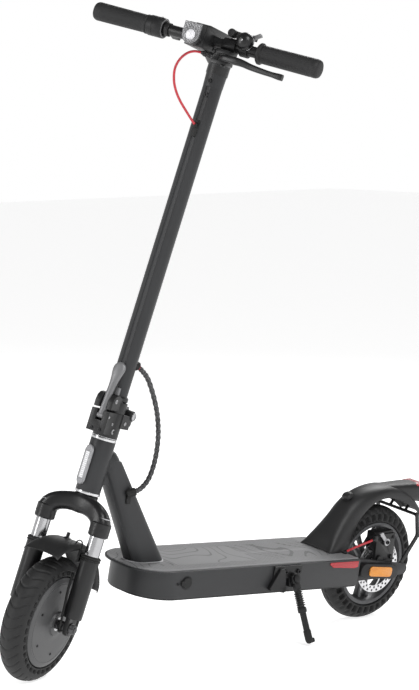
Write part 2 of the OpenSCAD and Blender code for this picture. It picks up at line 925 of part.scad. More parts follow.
module stem_collar() {
    color([0.05, 0.05, 0.06])
        front_end()
            difference() {
                union() {
                    translate([0, 0, collar_low]) cylinder(r = base_r, h = collar_high - collar_low);
                    block([0, -12, collar_low + 2], [30, 12, collar_high - 4]);
                    block([hinge_o, -knuckle_half, collar_low + 0.5],
                        [-15, knuckle_half, collar_high - 6]);
                    translate([hinge_o, 0, split_s]) rod_y(hinge_r, -knuckle_half, knuckle_half);
                    block([12, catch_y - 3, collar_high - 7], [28, catch_y, catch_s + 4]);
                    block([12, catch_y - 1, collar_high - 7], [28, catch_y + 7, catch_s - 4.2]);
                }
                translate([0, 0, socket_s]) cylinder(r = stem_r + run_fit, h = 40);
                translate([0, 0, collar_low - 1]) cylinder(r = 14, h = 40);
                translate([hinge_o, 0, split_s])
                    rod_y(hinge_pin_r + run_fit, -knuckle_half - 1, knuckle_half + 1);
                translate([lever_o, -20, lever_s]) rotate([-90, 0, 0]) cylinder(r = 15, h = 40);
                translate([catch_o, 0, catch_s]) rod_y(catch_pin_r + run_fit, 0, 20);
            }
}

module safety_catch() {
    color([0.6, 0.6, 0.62])
        front_end() translate([catch_o, 0, catch_s]) {
            rod_y(3.8, catch_y + move_gap, catch_y + 7);
            block([-3.4, catch_y + move_gap, 0], [3.8, catch_y + 7, 20]);
            rod_y(catch_pin_r, catch_y - 3, catch_y + 1);
        }
}

// ---------------------------------------------------------------- stem and head

stem_top = bar_s - 37;

module stem_tube() {
    color([0.13, 0.13, 0.14])
        front_end()
            ring(stem_r, stem_r - stem_wall, socket_s + face_gap, stem_top);
}

neck_r = stem_r + 2.5;
head_half = 19;
head_under = bar_s - 22;
head_over = bar_s + 22;
head_front = bar_o + 47;
button_o = 28;
button_r = 6;

module bar_head() {
    color([0.06, 0.06, 0.07])
        front_end()
            difference() {
                union() {
                    translate([0, 0, stem_top - 16]) cylinder(r = neck_r, h = head_under - stem_top + 18);
                    block([-neck_r + 3, -head_half, head_under], [head_front, head_half, head_over]);
                    hull() {
                        block([-10, -head_half + 2, head_under], [52, head_half - 2, head_under + 2]);
                        block([-8, -head_half + 2, head_under - 14], [18, head_half - 2, head_under - 12]);
                    }
                }
                translate([0, 0, stem_top - 60]) cylinder(r = stem_r + run_fit, h = 60 + face_gap);
                translate([bar_o, 0, bar_s]) rod_y(bar_r + run_fit, -head_half - 1, head_half + 1);
                translate([button_o, 0, head_over - 4]) cylinder(r = button_r + move_gap, h = 5);
            }
}

module handlebar() {
    half = bar_w / 2 - 5;
    color([0.08, 0.08, 0.08])
        front_end() translate([bar_o, 0, bar_s]) rotate([-90, 0, 0]) ring(bar_r, bar_r - 2.5, -half, half);
}

grip_left_from = 118;
grip_right_from = 128;

module one_grip(start, collar) {
    end = bar_w / 2;
    rotate([-90, 0, 0]) {
        ring(grip_r, bar_r + run_fit, start, end - 4);
        translate([0, 0, end - 4.9]) cylinder(r = grip_r, h = 4.9);
        ring(grip_r + collar, bar_r + run_fit, start, start + 6);
    }
}

module grips() {
    color([0.05, 0.05, 0.05])
        front_end() translate([bar_o, 0, bar_s]) {
            one_grip(grip_left_from, 2.5);
            mirror([0, 1, 0]) one_grip(grip_right_from, 0.5);
        }
}

lamp_t = 24;
lens_r = 9.5;
lens_s = bar_s - 9;

module headlight() {
    color([0.7, 0.7, 0.72])
        front_end()
            difference() {
                block([head_front + face_gap, -head_half, head_under + 2],
                    [head_front + lamp_t, head_half, head_over - 2]);
                translate([head_front + lamp_t - 4, 0, lens_s]) rotate([0, 90, 0])
                    cylinder(r = lens_r + 0.5, h = 6);
            }
}

module headlight_lens() {
    color([0.95, 0.95, 1])
        front_end() translate([head_front + lamp_t - 4 + face_gap, 0, lens_s])
            rotate([0, 90, 0]) cylinder(r = lens_r, h = 5);
}

module display_panel() {
    color([0.02, 0.02, 0.02])
        front_end()
            difference() {
                block([10, -16, head_over + face_gap], [head_front - 20, 16, head_over + 3]);
                translate([button_o, 0, head_over - 1]) cylinder(r = button_r + move_gap, h = 6);
            }
}

module power_button() {
    color([0.8, 0.1, 0.1])
        front_end() translate([button_o, 0, head_over - 2]) cylinder(r = button_r, h = 6.5);
}

// ---------------------------------------------------------------- bell, brake and throttle

bell_y = 88;
bell_s = bar_s + 14;
bell_r = 18;
striker_y = 98.6;
striker_s = bar_s + 26;

module bell() {
    color([0.03, 0.03, 0.03])
        front_end()
            difference() {
                union() {
                    translate([bar_o, 0, bar_s]) rod_y(bar_r + 4, bell_y - 8, bell_y + 8);
                    translate([bar_o + 9, bell_y, bell_s]) rotate([0, 90, 0])
                        cylinder(r = bell_r, h = 22);
                    block([bar_o - 6, bell_y - 26, bar_s + 18], [bar_o + 10, bell_y, bar_s + 30]);
                    block([bar_o - 6, bell_y - 8, bar_s + 8], [bar_o + 10, bell_y + 6, bar_s + 30]);
                    translate([bar_o - 4, bell_y - 33, bar_s + 24]) rotate([0, 90, 0])
                        cylinder(r = 8, h = 20);
                    block([bar_o - 8, bell_y, bar_s + 20], [bar_o - 4, striker_y + 4, bar_s + 30]);
                    translate([bar_o - 5, striker_y, striker_s]) rotate([0, 90, 0])
                        cylinder(r = 2, h = 12);
                }
                translate([bar_o, 0, bar_s]) rod_y(bar_r + run_fit, bell_y - 40, bell_y + 20);
            }
}

module bell_striker() {
    color([0.6, 0.6, 0.62])
        front_end() translate([bar_o - 3.5, striker_y, striker_s])
            difference() {
                union() {
                    rotate([0, 90, 0]) cylinder(r = 4.2, h = 9);
                    rotate([32, 0, 0]) block([0, 0, -3], [9, 15, 3]);
                }
                translate([-1, 0, 0]) rotate([0, 90, 0]) cylinder(r = 2 + run_fit, h = 12);
            }
}

perch_from = 42;
perch_to = 70;
blade_s = bar_s - 28;
lever_pivot_o = bar_o + 19;
lever_pivot_y = 60;
lever_bolt_r = 3;

module brake_perch() {
    color([0.05, 0.05, 0.05])
        front_end()
            difference() {
                union() {
                    translate([bar_o, 0, bar_s]) rod_y(bar_r + 4, perch_from, perch_to);
                    block([bar_o - 8, perch_from, bar_s - 20], [lever_pivot_o + 8, perch_to, bar_s - 12]);
                    block([bar_o - 2, perch_from - 6, blade_s - 9],
                        [lever_pivot_o + 4, perch_from + 6, bar_s - 14]);
                    block([bar_o - 2, perch_from - 6, blade_s - 12],
                        [lever_pivot_o + 8, perch_to, blade_s - 6]);
                    translate([bar_o + 18, 0, blade_s]) rod_y(5, 12, perch_from);
                }
                translate([bar_o, 0, bar_s]) rod_y(bar_r + run_fit, perch_from - 1, perch_to + 1);
                translate([lever_pivot_o, lever_pivot_y, blade_s - 15])
                    cylinder(r = lever_bolt_r + run_fit, h = 30);
            }
}

blade_tip_o = bar_o + 30;
blade_tip_y = 190;

module brake_lever() {
    color([0.06, 0.06, 0.06])
        front_end() translate([0, 0, blade_s - 5]) {
            hull() {
                translate([lever_pivot_o, lever_pivot_y, 0]) cylinder(r = 8, h = 10, $fn = hull_fn);
                translate([lever_pivot_o + 6, lever_pivot_y + 30, 0])
                    cylinder(r = 5, h = 10, $fn = hull_fn);
            }
            hull() {
                translate([lever_pivot_o + 6, lever_pivot_y + 30, 0])
                    cylinder(r = 5, h = 10, $fn = hull_fn);
                translate([blade_tip_o, blade_tip_y, 0]) cylinder(r = 5, h = 10, $fn = hull_fn);
            }
            translate([lever_pivot_o, lever_pivot_y, -6]) cylinder(r = lever_bolt_r, h = 24);
        }
}

throttle_from = 66;
throttle_mid = 92;

module throttle_housing() {
    color([0.05, 0.05, 0.05])
        front_end() translate([bar_o, 0, bar_s]) rotate([90, 0, 0])
            ring(20, bar_r + run_fit, throttle_mid, grip_right_from - face_gap);
}

module throttle_paddle() {
    color([0.05, 0.05, 0.05])
        front_end() translate([bar_o, 0, bar_s]) {
            rotate([90, 0, 0])
                ring(17, bar_r + run_fit, throttle_from, throttle_mid - move_gap);
            rotate([0, -30, 0])
                block([-44, -throttle_from - 22, -5], [-14, -throttle_from - 2, 3]);
        }
}

// Route of the front brake cable in the steering frame
cable_r = 2.5;
cable_points = [[105, 11, 1137], [107, -4, 1131], [109, -16, 1118], [111, -25, 1098],
    [108, -31, 1077], [92, -27, 1054], [75, -20, 1039], [56, -11, 1026], [40, -4, 1014],
    [21, 0, 1004.5]];

module brake_cable() {
    color([0.85, 0.1, 0.15]) front_end() swept_tube(cable_points, cable_r, 8, 3);
}

// ---------------------------------------------------------------- wiring loop

// Route of the wrapped wiring from the stem to the down tube, upright scooter
wire_r = 5.5;
wire_points = [[714.5, 5, 618], [705, 11, 609], [688, 11, 591], [669, 8, 560], [653, 5, 527],
    [642, 2, 496], [637, 1, 466], [641, 5, 436], [653, 13, 410], [673, 24, 388],
    [698, 33, 375], [714, 32, 369], [721.4, 28.1, 366]];

module wiring_loop() {
    color([0.07, 0.07, 0.07]) on_stand() swept_tube(wire_points, wire_r, 10, 3);
}

// ---------------------------------------------------------------- side stand

stand_x = -95;
stand_y = deck_w / 2 + 8;
stand_z = -33;
foot_r = 10;
// The stand's pivot in the upright scooter, and the foot's way to the ground
stand_pivot = turn_y([stand_x, stand_y, stand_z], -deck_pitch) + [deck_mid, 0, deck_top];
eye_t = 9;
leg_start = stand_pivot + turn_x([0, eye_t / 2, 0], stand_splay);
leg_way = turn_x(turn_y([0, 0, -1], stand_back), stand_splay);
start_world = leaned(leg_start, nose_drop);
way_world = leaned(leg_start + leg_way, nose_drop) - start_world;
leg_len = (start_world[2] - rear_low - foot_r) / -way_world[2];

module stand_frame() {
    on_stand() translate(stand_pivot) rotate([stand_splay, 0, 0]) children();
}

module stand_bracket() {
    color([0.06, 0.06, 0.07]) {
        deck_frame() {
            difference() {
                block([stand_x - 20, deck_w / 2 + face_gap, stand_z + 2],
                    [stand_x + 55, deck_w / 2 + 4, stand_z + 26]);
                for (x = [stand_x - 13, stand_x + 24])
                    translate([x, 0, stand_z + 16]) rod_y(3, deck_w / 2 - 1, deck_w / 2 + 6);
            }
            difference() {
                block([stand_x - 12, deck_w / 2 + face_gap, stand_z - 15],
                    [stand_x + 12, deck_w / 2 + 16, stand_z + 4]);
                translate([stand_x, stand_y, stand_z]) rotate([stand_splay, 0, 0])
                    block([-40, -1 - move_gap, -60], [40, 60, 60]);
            }
        }
        stand_frame() rod_y(4, -6, eye_t + 3);
        stand_frame() rod_y(8, eye_t + move_gap, eye_t + 4);
    }
}

module stand_leg() {
    color([0.08, 0.08, 0.08])
        stand_frame() rotate([0, stand_back, 0])
            difference() {
                union() {
                    rod_y(11, 0, eye_t);
                    block([-8, 0, -24], [8, eye_t, 0]);
                    translate([0, eye_t / 2, -leg_len]) cylinder(r = stand_r, h = leg_len - 22);
                }
                rod_y(4 + run_fit, -5, eye_t + 5);
            }
}

module stand_foot() {
    color([0.03, 0.03, 0.03])
        stand_frame() rotate([0, stand_back, 0]) translate([0, eye_t / 2, -leg_len])
            difference() {
                union() {
                    sphere(r = foot_r);
                    cylinder(r = foot_r, h = 22);
                }
                cylinder(r = stand_r + run_fit, h = 30);
            }
}

module stand_spring() {
    color([0.6, 0.6, 0.6])
        stand_frame() rotate([0, stand_back, 0]) translate([0, eye_t / 2, 0])
            ring(stand_r + 3, stand_r + 0.3, -62, -25);
}

deck_shell();
deck_mat();
bottom_cover();
battery_pack();
motor_controller();
down_tube();
head_tube();
headset_bearings();
front_reflector();
rear_arms();
arm_caps();
side_reflectors();
rear_fender();
tail_light();
fender_stay();
caliper_body();
brake_pads();
caliper_arm();
rear_brake_cable();
rear_axle();
rear_tyre();
rear_rim();
brake_rotor();
rear_bearings();
charge_cap();
stand_bracket();
stand_leg();
stand_foot();
stand_spring();
steerer_tube();
fork_crown();
stanchions();
fold_base();
fold_pins();
fold_lever();
wiring_loop();
fork_lowers();
front_fender();
front_axle();
motor_stator();
front_tyre();
hub_shell();
hub_bearings();
stem_collar();
safety_catch();
stem_tube();
bar_head();
handlebar();
grips();
headlight();
headlight_lens();
display_panel();
power_button();
bell();
bell_striker();
brake_perch();
brake_lever();
throttle_housing();
throttle_paddle();
brake_cable();
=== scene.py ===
import json
import math
import bpy
import bmesh
from mathutils import Matrix, Vector, noise


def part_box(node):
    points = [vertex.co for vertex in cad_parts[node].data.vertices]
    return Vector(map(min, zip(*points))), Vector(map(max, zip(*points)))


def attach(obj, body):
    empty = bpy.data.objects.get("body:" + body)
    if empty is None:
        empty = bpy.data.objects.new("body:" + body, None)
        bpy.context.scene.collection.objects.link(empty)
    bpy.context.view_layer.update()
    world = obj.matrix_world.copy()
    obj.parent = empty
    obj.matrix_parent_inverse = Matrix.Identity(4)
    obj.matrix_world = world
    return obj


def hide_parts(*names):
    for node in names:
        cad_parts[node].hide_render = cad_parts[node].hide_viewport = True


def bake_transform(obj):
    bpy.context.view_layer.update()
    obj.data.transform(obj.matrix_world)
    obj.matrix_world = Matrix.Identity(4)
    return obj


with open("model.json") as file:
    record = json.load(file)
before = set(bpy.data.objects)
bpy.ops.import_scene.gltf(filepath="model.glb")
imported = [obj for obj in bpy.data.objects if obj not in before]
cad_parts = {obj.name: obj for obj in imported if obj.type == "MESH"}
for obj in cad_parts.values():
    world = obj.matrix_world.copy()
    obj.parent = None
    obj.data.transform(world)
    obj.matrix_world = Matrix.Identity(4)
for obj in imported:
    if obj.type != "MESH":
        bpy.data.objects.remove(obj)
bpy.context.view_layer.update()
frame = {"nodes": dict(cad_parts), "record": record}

# ---- Studio -------------------------------------------------------------------------
# A white sweep of floor, even white light all round, and three large soft lamps.
# The camera stands ahead of the scooter and to its left, at about saddle height.

bpy.ops.mesh.primitive_plane_add(size=30)
floor = bpy.context.object
floor.name = "studio_floor"

scene = bpy.context.scene
scene.view_settings.view_transform = "Standard"
world = bpy.data.worlds.new("studio_light")
scene.world = world
world.use_nodes = True
wires, cards = world.node_tree.links, world.node_tree.nodes
way = cards.new("ShaderNodeTexCoord")
split = cards.new("ShaderNodeSeparateXYZ")
fade = cards.new("ShaderNodeMapRange")
fade.interpolation_type = "SMOOTHSTEP"
for port, value in (("From Min", 0.1), ("From Max", 0.55), ("To Min", 1.0), ("To Max", 0.16)):
    fade.inputs[port].default_value = value
wires.new(way.outputs["Generated"], split.inputs[0])
wires.new(split.outputs["Z"], fade.inputs["Value"])
wires.new(fade.outputs[0], cards["Background"].inputs["Strength"])
cards["Background"].inputs["Color"].default_value = (1, 1, 1, 1)


def softbox(name, place, aim, width, height, power):
    lamp = bpy.data.lights.new(name, "AREA")
    lamp.shape = "RECTANGLE"
    lamp.size, lamp.size_y, lamp.energy = width, height, power
    stand = bpy.data.objects.new(name, lamp)
    scene.collection.objects.link(stand)
    stand.location = place
    stand.rotation_euler = (Vector(aim) - Vector(place)).to_track_quat("-Z", "Y").to_euler()


softbox("key_lamp", (0.8, 3.0, 3.6), (0, 0, 0.4), 2.0, 2.0, 110)
softbox("side_lamp", (3.8, -1.2, 2.2), (0, 0, 0.6), 0.8, 2.4, 60)
softbox("back_lamp", (-3.0, -1.5, 3.0), (0, 0, 0.4), 1.6, 1.6, 70)

aim = Vector((0.0027, -0.1887, 0.6258))
camera_side, camera_rise = math.radians(42.1), math.radians(5.9)
camera_distance = 5.531
back = Vector((math.sin(camera_side) * math.cos(camera_rise),
               math.cos(camera_side) * math.cos(camera_rise), math.sin(camera_rise)))
camera = bpy.data.objects.new("camera", bpy.data.cameras.new("camera"))
scene.collection.objects.link(camera)
camera.data.lens = 140.6
camera.data.clip_end = 60
camera.location = aim + camera_distance * back
camera.rotation_euler = back.to_track_quat("Z", "Y").to_euler()
scene.camera = camera

# ---- Deck tray ----------------------------------------------------------------------
# Pressed aluminium tray with a satin anthracite powder coat. A thin top plate stands out
# ahead of the tray's rounded front; the battery and the controller lie inside.


class Wire:
    """A value in one material's nodes; arithmetic on it adds Math nodes."""

    def __init__(self, socket):
        self.socket = socket

    def node(self, kind, settings={}, values={}, out=0):
        made = self.socket.id_data.nodes.new(kind)
        for name, value in settings.items():
            if name == "stops":
                while len(made.color_ramp.elements) < len(value):
                    made.color_ramp.elements.new(0.5)
                for element, (place, shade) in zip(made.color_ramp.elements, value):
                    element.position = place
                    element.color = (shade, shade, shade, 1)
            else:
                setattr(made, name, value)
        for port, value in values.items():
            if isinstance(value, Wire):
                made.id_data.links.new(value.socket, made.inputs[port])
            else:
                made.inputs[port].default_value = value
        return Wire(made.outputs[out])

    def maths(self, operation, first, second=0.0):
        return self.node("ShaderNodeMath", {"operation": operation}, {0: first, 1: second})

    def __add__(self, other):
        return self.maths("ADD", self, other)

    def __sub__(self, other):
        return self.maths("SUBTRACT", self, other)

    def __rsub__(self, other):
        return self.maths("SUBTRACT", other, self)

    def __mul__(self, other):
        return self.maths("MULTIPLY", self, other)

    def __truediv__(self, other):
        return self.maths("DIVIDE", self, other)

    def __gt__(self, other):
        return self.maths("GREATER_THAN", self, other)

    def __lt__(self, other):
        return self.maths("LESS_THAN", self, other)

    __radd__ = __add__
    __rmul__ = __mul__

    def grain(self, scale, detail=2.0):
        return self.node("ShaderNodeTexNoise", {}, {"Vector": self, "Scale": scale, "Detail": detail})

    def along(self, way, start):
        """Distance from a point, in millimetres, along a direction of the row frame."""
        way = Vector(way).normalized()
        dot = self.node("ShaderNodeVectorMath", {"operation": "DOT_PRODUCT"},
                        {0: self, 1: tuple(way)}, out="Value")
        return (dot - way.dot(Vector(start))) * 1000

    def mix(self, first, second):
        """A colour between two, by this value."""
        return self.node("ShaderNodeMix", {"data_type": "RGBA"},
                         {0: self, 6: (*first, 1) if isinstance(first, tuple) else first,
                          7: (*second, 1) if isinstance(second, tuple) else second}, out=2)

    def bump(self, height, depth, over=None):
        """A surface raised by depth millimetres where height is one."""
        values = {"Height": height, "Strength": 1.0, "Distance": depth / 1000}
        if over is not None:
            values["Normal"] = over
        return self.node("ShaderNodeBump", {}, values)


def finish(name, recipe, constants={}):
    paint = bpy.data.materials.new(name)
    paint.use_nodes = True
    nodes = paint.node_tree.nodes
    here = Wire(nodes.new("ShaderNodeTexCoord").outputs["Object"])
    for port, value in {**constants, **recipe(here)}.items():
        socket = nodes["Principled BSDF"].inputs[port]
        if isinstance(value, Wire):
            paint.node_tree.links.new(value.socket, socket)
        else:
            socket.default_value = value
    return paint


def coating(name, colour, shine, grain, depth, wear=0.25, constants={}):
    """A coat or moulded skin: soft changes of tone, uneven gloss and a fine grain."""
    def recipe(here):
        cloud = here.grain(9, 4)
        fine = here.grain(grain, 3)
        light = tuple(min(1, c * (1 + wear) + 0.004) for c in colour)
        dark = tuple(c * (1 - wear) for c in colour)
        return {"Base Color": cloud.mix(dark, light),
                "Roughness": (fine - 0.5) * 0.14 + (cloud - 0.5) * 0.12 + shine,
                "Normal": here.bump(fine, depth)}
    return finish(name, recipe, constants)


frame_coat = coating("anthracite_powder_coat", (0.024, 0.0245, 0.026), 0.44, 1500, 0.05, 0.12,
                     {"Specular IOR Level": 0.3})
black_coat = coating("black_powder_coat", (0.007, 0.007, 0.0075), 0.36, 1500, 0.05, 0.3,
                     {"Specular IOR Level": 0.3})
black_plastic = coating("grained_black_plastic", (0.009, 0.009, 0.0095), 0.48, 900, 0.09, 0.3,
                        {"Specular IOR Level": 0.3})
white_floor = coating("white_paper_floor", (0.8, 0.8, 0.8), 0.85, 60, 0.02, 0.02,
                      {"Emission Color": (1, 1, 1, 1), "Emission Strength": 0.72,
                       "Specular IOR Level": 0.1})
floor.data.materials.append(white_floor)
hidden_grey = coating("plain_cast_box", (0.3, 0.3, 0.31), 0.5, 600, 0.1)
battery_wrap = coating("battery_shrink_wrap", (0.03, 0.07, 0.2), 0.35, 160, 0.4)


def paint_node(name, paint):
    mesh = frame["nodes"][name].data
    if mesh.materials:
        mesh.materials.clear()
    for layer in paint if isinstance(paint, list) else [paint]:
        mesh.materials.append(layer)


def eased(name, width, paint, body):
    """A CAD piece with its edges rounded over, in place of the sharp one."""
    mesh = frame["nodes"][name].data.copy()
    shape = bmesh.new()
    shape.from_mesh(mesh)
    bmesh.ops.remove_doubles(shape, verts=shape.verts, dist=2e-5)
    bmesh.ops.dissolve_limit(shape, angle_limit=math.radians(1.5), verts=shape.verts,
                             edges=shape.edges)
    shape.to_mesh(mesh)
    shape.free()
    return dress(name + "_eased", mesh, paint, body, [name], 32, width)


def dress(name, mesh, paint, body, nodes=(), sharp=35, width=0.0):
    """Makes a finished piece of a mesh that is already in place in the row frame."""
    made = bpy.data.objects.new(name, mesh)
    scene.collection.objects.link(made)
    if mesh.materials:
        mesh.materials.clear()
    for layer in paint if isinstance(paint, list) else [paint]:
        mesh.materials.append(layer)
    if width:
        soften = made.modifiers.new("eased edges", "BEVEL")
        soften.width, soften.segments, soften.limit_method = width / 1000, 2, "ANGLE"
        soften.angle_limit, soften.harden_normals = math.radians(40), False
        bpy.context.view_layer.update()
        made.data = bpy.data.meshes.new_from_object(
            made.evaluated_get(bpy.context.evaluated_depsgraph_get()))
        made.modifiers.clear()
    made.data.shade_smooth()
    made.data.set_sharp_from_angle(angle=math.radians(sharp))
    if body:
        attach(made, body)
    if nodes:
        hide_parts(*nodes)
    return made


eased("deck_shell", 1.2, frame_coat, "frame")
eased("bottom_cover", 1.0, black_plastic, "frame")
paint_node("battery_pack", battery_wrap)
paint_node("motor_controller", hidden_grey)

# ---- Deck mat -----------------------------------------------------------------------
# Grey moulded rubber mat glued to the top plate. Raised bars run across it and a relief of
# wandering contour lines fills its middle; its grooves are darkened with painted shade.

pins = {joint["name"]: joint for joint in frame["record"]["behaviour"]["joints"]}
deck_face = [m for m in frame["record"]["mounts"] if m["name"] == "deck_underside"][0]
deck_up = -Vector(deck_face["axis"])


def bench(origin, left, up):
    """A place to build in millimetres: x forward, y left, z up, from an origin in metres."""
    left, up = Vector(left).normalized(), Vector(up).normalized()
    turn = Matrix((left.cross(up), left, up)).transposed().to_4x4()
    return Matrix.Translation(Vector(origin)) @ turn @ Matrix.Scale(0.001, 4)


class Piece:
    """A mesh being made in millimetres on one bench."""

    def __init__(self, place):
        self.place, self.shape = place, bmesh.new()

    def merge(self, other, turn=Matrix()):
        other.transform(turn)
        scrap = bpy.data.meshes.new("scrap")
        other.to_mesh(scrap)
        other.free()
        self.shape.from_mesh(scrap)
        bpy.data.meshes.remove(scrap)

    def slab(self, outline, low, high, turn=Matrix(), soft=0.0):
        """An outline in x and y, drawn out from z = low to z = high."""
        new = bmesh.new()
        ring = [new.verts.new((x, y, low)) for x, y in outline]
        top = [new.verts.new((x, y, high)) for x, y in outline]
        new.faces.new(ring[::-1])
        new.faces.new(top)
        for k in range(len(ring)):
            new.faces.new((ring[k - 1], ring[k], top[k], top[k - 1]))
        if soft:
            rims = [e for e in new.edges if abs(e.verts[0].co.z - e.verts[1].co.z) < 1e-6]
            bmesh.ops.bevel(new, geom=rims, offset=soft, segments=3, affect="EDGES", profile=0.6)
        self.merge(new, turn)

    def box(self, low, high, soft=1.0, turn=Matrix()):
        new = bmesh.new()
        bmesh.ops.create_cube(new, size=1)
        size = Vector(high) - Vector(low)
        new.transform(Matrix.Translation((Vector(low) + Vector(high)) / 2)
                      @ Matrix.Diagonal((*size, 1)))
        bmesh.ops.bevel(new, geom=new.edges[:], offset=soft, segments=3, affect="EDGES",
                        profile=0.6)
        self.merge(new, turn)

    def turned(self, profile, turn=Matrix(), steps=48, loop=False):
        """Radius and height pairs turned about z."""
        new = bmesh.new()
        rings = [[new.verts.new((r * math.cos(2 * math.pi * k / steps),
                                 r * math.sin(2 * math.pi * k / steps), h))
                  for k in range(steps)] for r, h in profile]
        for a, b in zip(rings, rings[1:] + (rings[:1] if loop else [])):
            for k in range(steps):
                new.faces.new((a[k - 1], a[k], b[k], b[k - 1]))
        bmesh.ops.remove_doubles(new, verts=new.verts, dist=1e-3)
        self.merge(new, turn)

    def rod(self, start, end, radius, soft=0.4, steps=32, bore=0.0):
        way = Vector(end) - Vector(start)
        turn = Matrix.Translation(Vector(start)) @ way.to_track_quat("Z", "Y").to_matrix().to_4x4()
        far = way.length
        wall = [(radius - soft, 0), (radius, soft), (radius, far - soft), (radius - soft, far)]
        if bore:
            self.turned([(bore, 0), *wall, (bore, far)], turn, steps, loop=True)
        else:
            self.turned([(0, 0), *wall, (0, far)], turn, steps)

    def swept(self, path, outline, sizes=None, up=(0, 0, 1), closed=True):
        """An outline carried along a path; sizes stretch it across and along up."""
        new = bmesh.new()
        path = [Vector(p) for p in path]
        rings = []
        for k, p in enumerate(path):
            way = (path[min(k + 1, len(path) - 1)] - path[max(k - 1, 0)]).normalized()
            rise = (Vector(up) - way * way.dot(Vector(up))).normalized()
            side = rise.cross(way)
            a, b = sizes[k] if sizes else (1, 1)
            rings.append([new.verts.new(p + side * x * a + rise * y * b) for x, y in outline])
        count = len(outline)
        for a, b in zip(rings, rings[1:]):
            for k in range(0 if closed else 1, count):
                new.faces.new((a[k - 1], a[k], b[k], b[k - 1]))
        if closed:
            new.faces.new(rings[0][::-1])
            new.faces.new(rings[-1])
        self.merge(new)

    def done(self, name, paint, body, nodes=(), sharp=35, width=0.0, rounds=0, wall=0.0):
        bmesh.ops.recalc_face_normals(self.shape, faces=self.shape.faces)
        self.shape.transform(self.place)
        mesh = bpy.data.meshes.new(name)
        self.shape.to_mesh(mesh)
        self.shape.free()
        if wall or rounds:
            draft = bpy.data.objects.new(name, mesh)
            scene.collection.objects.link(draft)
            if wall:
                sheet = draft.modifiers.new("wall", "SOLIDIFY")
                sheet.thickness, sheet.offset, sheet.use_even_offset = wall / 1000, -1, True
            if rounds:
                smooth = draft.modifiers.new("rounded", "SUBSURF")
                smooth.levels = smooth.render_levels = rounds
            bpy.context.view_layer.update()
            mesh = bpy.data.meshes.new_from_object(
                draft.evaluated_get(bpy.context.evaluated_depsgraph_get()))
            bpy.data.objects.remove(draft)
        return dress(name, mesh, paint, body, nodes, sharp, width)


def circle(radius, steps=24, squash=1.0):
    return [(radius * math.cos(2 * math.pi * k / steps),
             squash * radius * math.sin(2 * math.pi * k / steps)) for k in range(steps)]


def rounded(width, height, corner, steps=5):
    """A rectangle with round corners, about its middle."""
    return [(sx * (width / 2 - corner) + corner * math.cos(t),
             sy * (height / 2 - corner) + corner * math.sin(t))
            for quarter, (sx, sy) in enumerate(((1, 1), (-1, 1), (-1, -1), (1, -1)))
            for k in range(steps + 1)
            for t in (math.pi / 2 * (quarter + k / steps),)]


def smooth_line(points, steps):
    """A round curve through points, as a list of more points."""
    points = [Vector(p) for p in points]
    line = []
    for k in range(len(points) - 1):
        a, b = points[max(k - 1, 0)], points[k]
        c, d = points[k + 1], points[min(k + 2, len(points) - 1)]
        for n in range(steps):
            t = n / steps
            line.append(0.5 * (2 * b + (c - a) * t + (2 * a - 5 * b + 4 * c - d) * t * t
                               + (3 * b - a - 3 * c + d) * t * t * t))
    return line + [points[-1]]


def fitting_tree():
    """Sets one small part on every point of a mesh, turned and stretched as the point says."""
    tree = bpy.data.node_groups.new("fit_on_points", "GeometryNodeTree")
    for name, kind in (("Spots", "NodeSocketGeometry"), ("Part", "NodeSocketObject"),
                       ("Size", "NodeSocketFloat"), ("Paint", "NodeSocketMaterial")):
        tree.interface.new_socket(name, in_out="INPUT", socket_type=kind)
    tree.interface.new_socket("Parts", in_out="OUTPUT", socket_type="NodeSocketGeometry")
    add, link = tree.nodes.new, tree.links.new
    start, end = add("NodeGroupInput"), add("NodeGroupOutput")
    part, put, aim = add("GeometryNodeObjectInfo"), add("GeometryNodeInstanceOnPoints"), \
        add("FunctionNodeAlignRotationToVector")
    way, stretch = add("GeometryNodeInputNamedAttribute"), add("GeometryNodeInputNamedAttribute")
    way.data_type = stretch.data_type = "FLOAT_VECTOR"
    way.inputs["Name"].default_value, stretch.inputs["Name"].default_value = "way", "stretch"
    lean, forth = add("FunctionNodeAlignRotationToVector"), add("GeometryNodeInputNamedAttribute")
    forth.data_type, forth.inputs["Name"].default_value = "FLOAT_VECTOR", "forth"
    aim.axis, lean.axis, lean.pivot_axis = "Z", "X", "Z"
    scale, real, paint = add("ShaderNodeVectorMath"), add("GeometryNodeRealizeInstances"), \
        add("GeometryNodeSetMaterial")
    scale.operation = "SCALE"
    link(start.outputs["Spots"], put.inputs["Points"])
    link(start.outputs["Part"], part.inputs["Object"])
    link(part.outputs["Geometry"], put.inputs["Instance"])
    link(way.outputs["Attribute"], aim.inputs["Vector"])
    link(aim.outputs["Rotation"], lean.inputs["Rotation"])
    link(forth.outputs["Attribute"], lean.inputs["Vector"])
    link(lean.outputs["Rotation"], put.inputs["Rotation"])
    link(stretch.outputs["Attribute"], scale.inputs[0])
    link(start.outputs["Size"], scale.inputs["Scale"])
    link(scale.outputs["Vector"], put.inputs["Scale"])
    link(put.outputs["Instances"], real.inputs["Geometry"])
    link(real.outputs["Geometry"], paint.inputs["Geometry"])
    link(start.outputs["Paint"], paint.inputs["Material"])
    link(paint.outputs["Geometry"], end.inputs["Parts"])
    return tree


fit_on_points = fitting_tree()


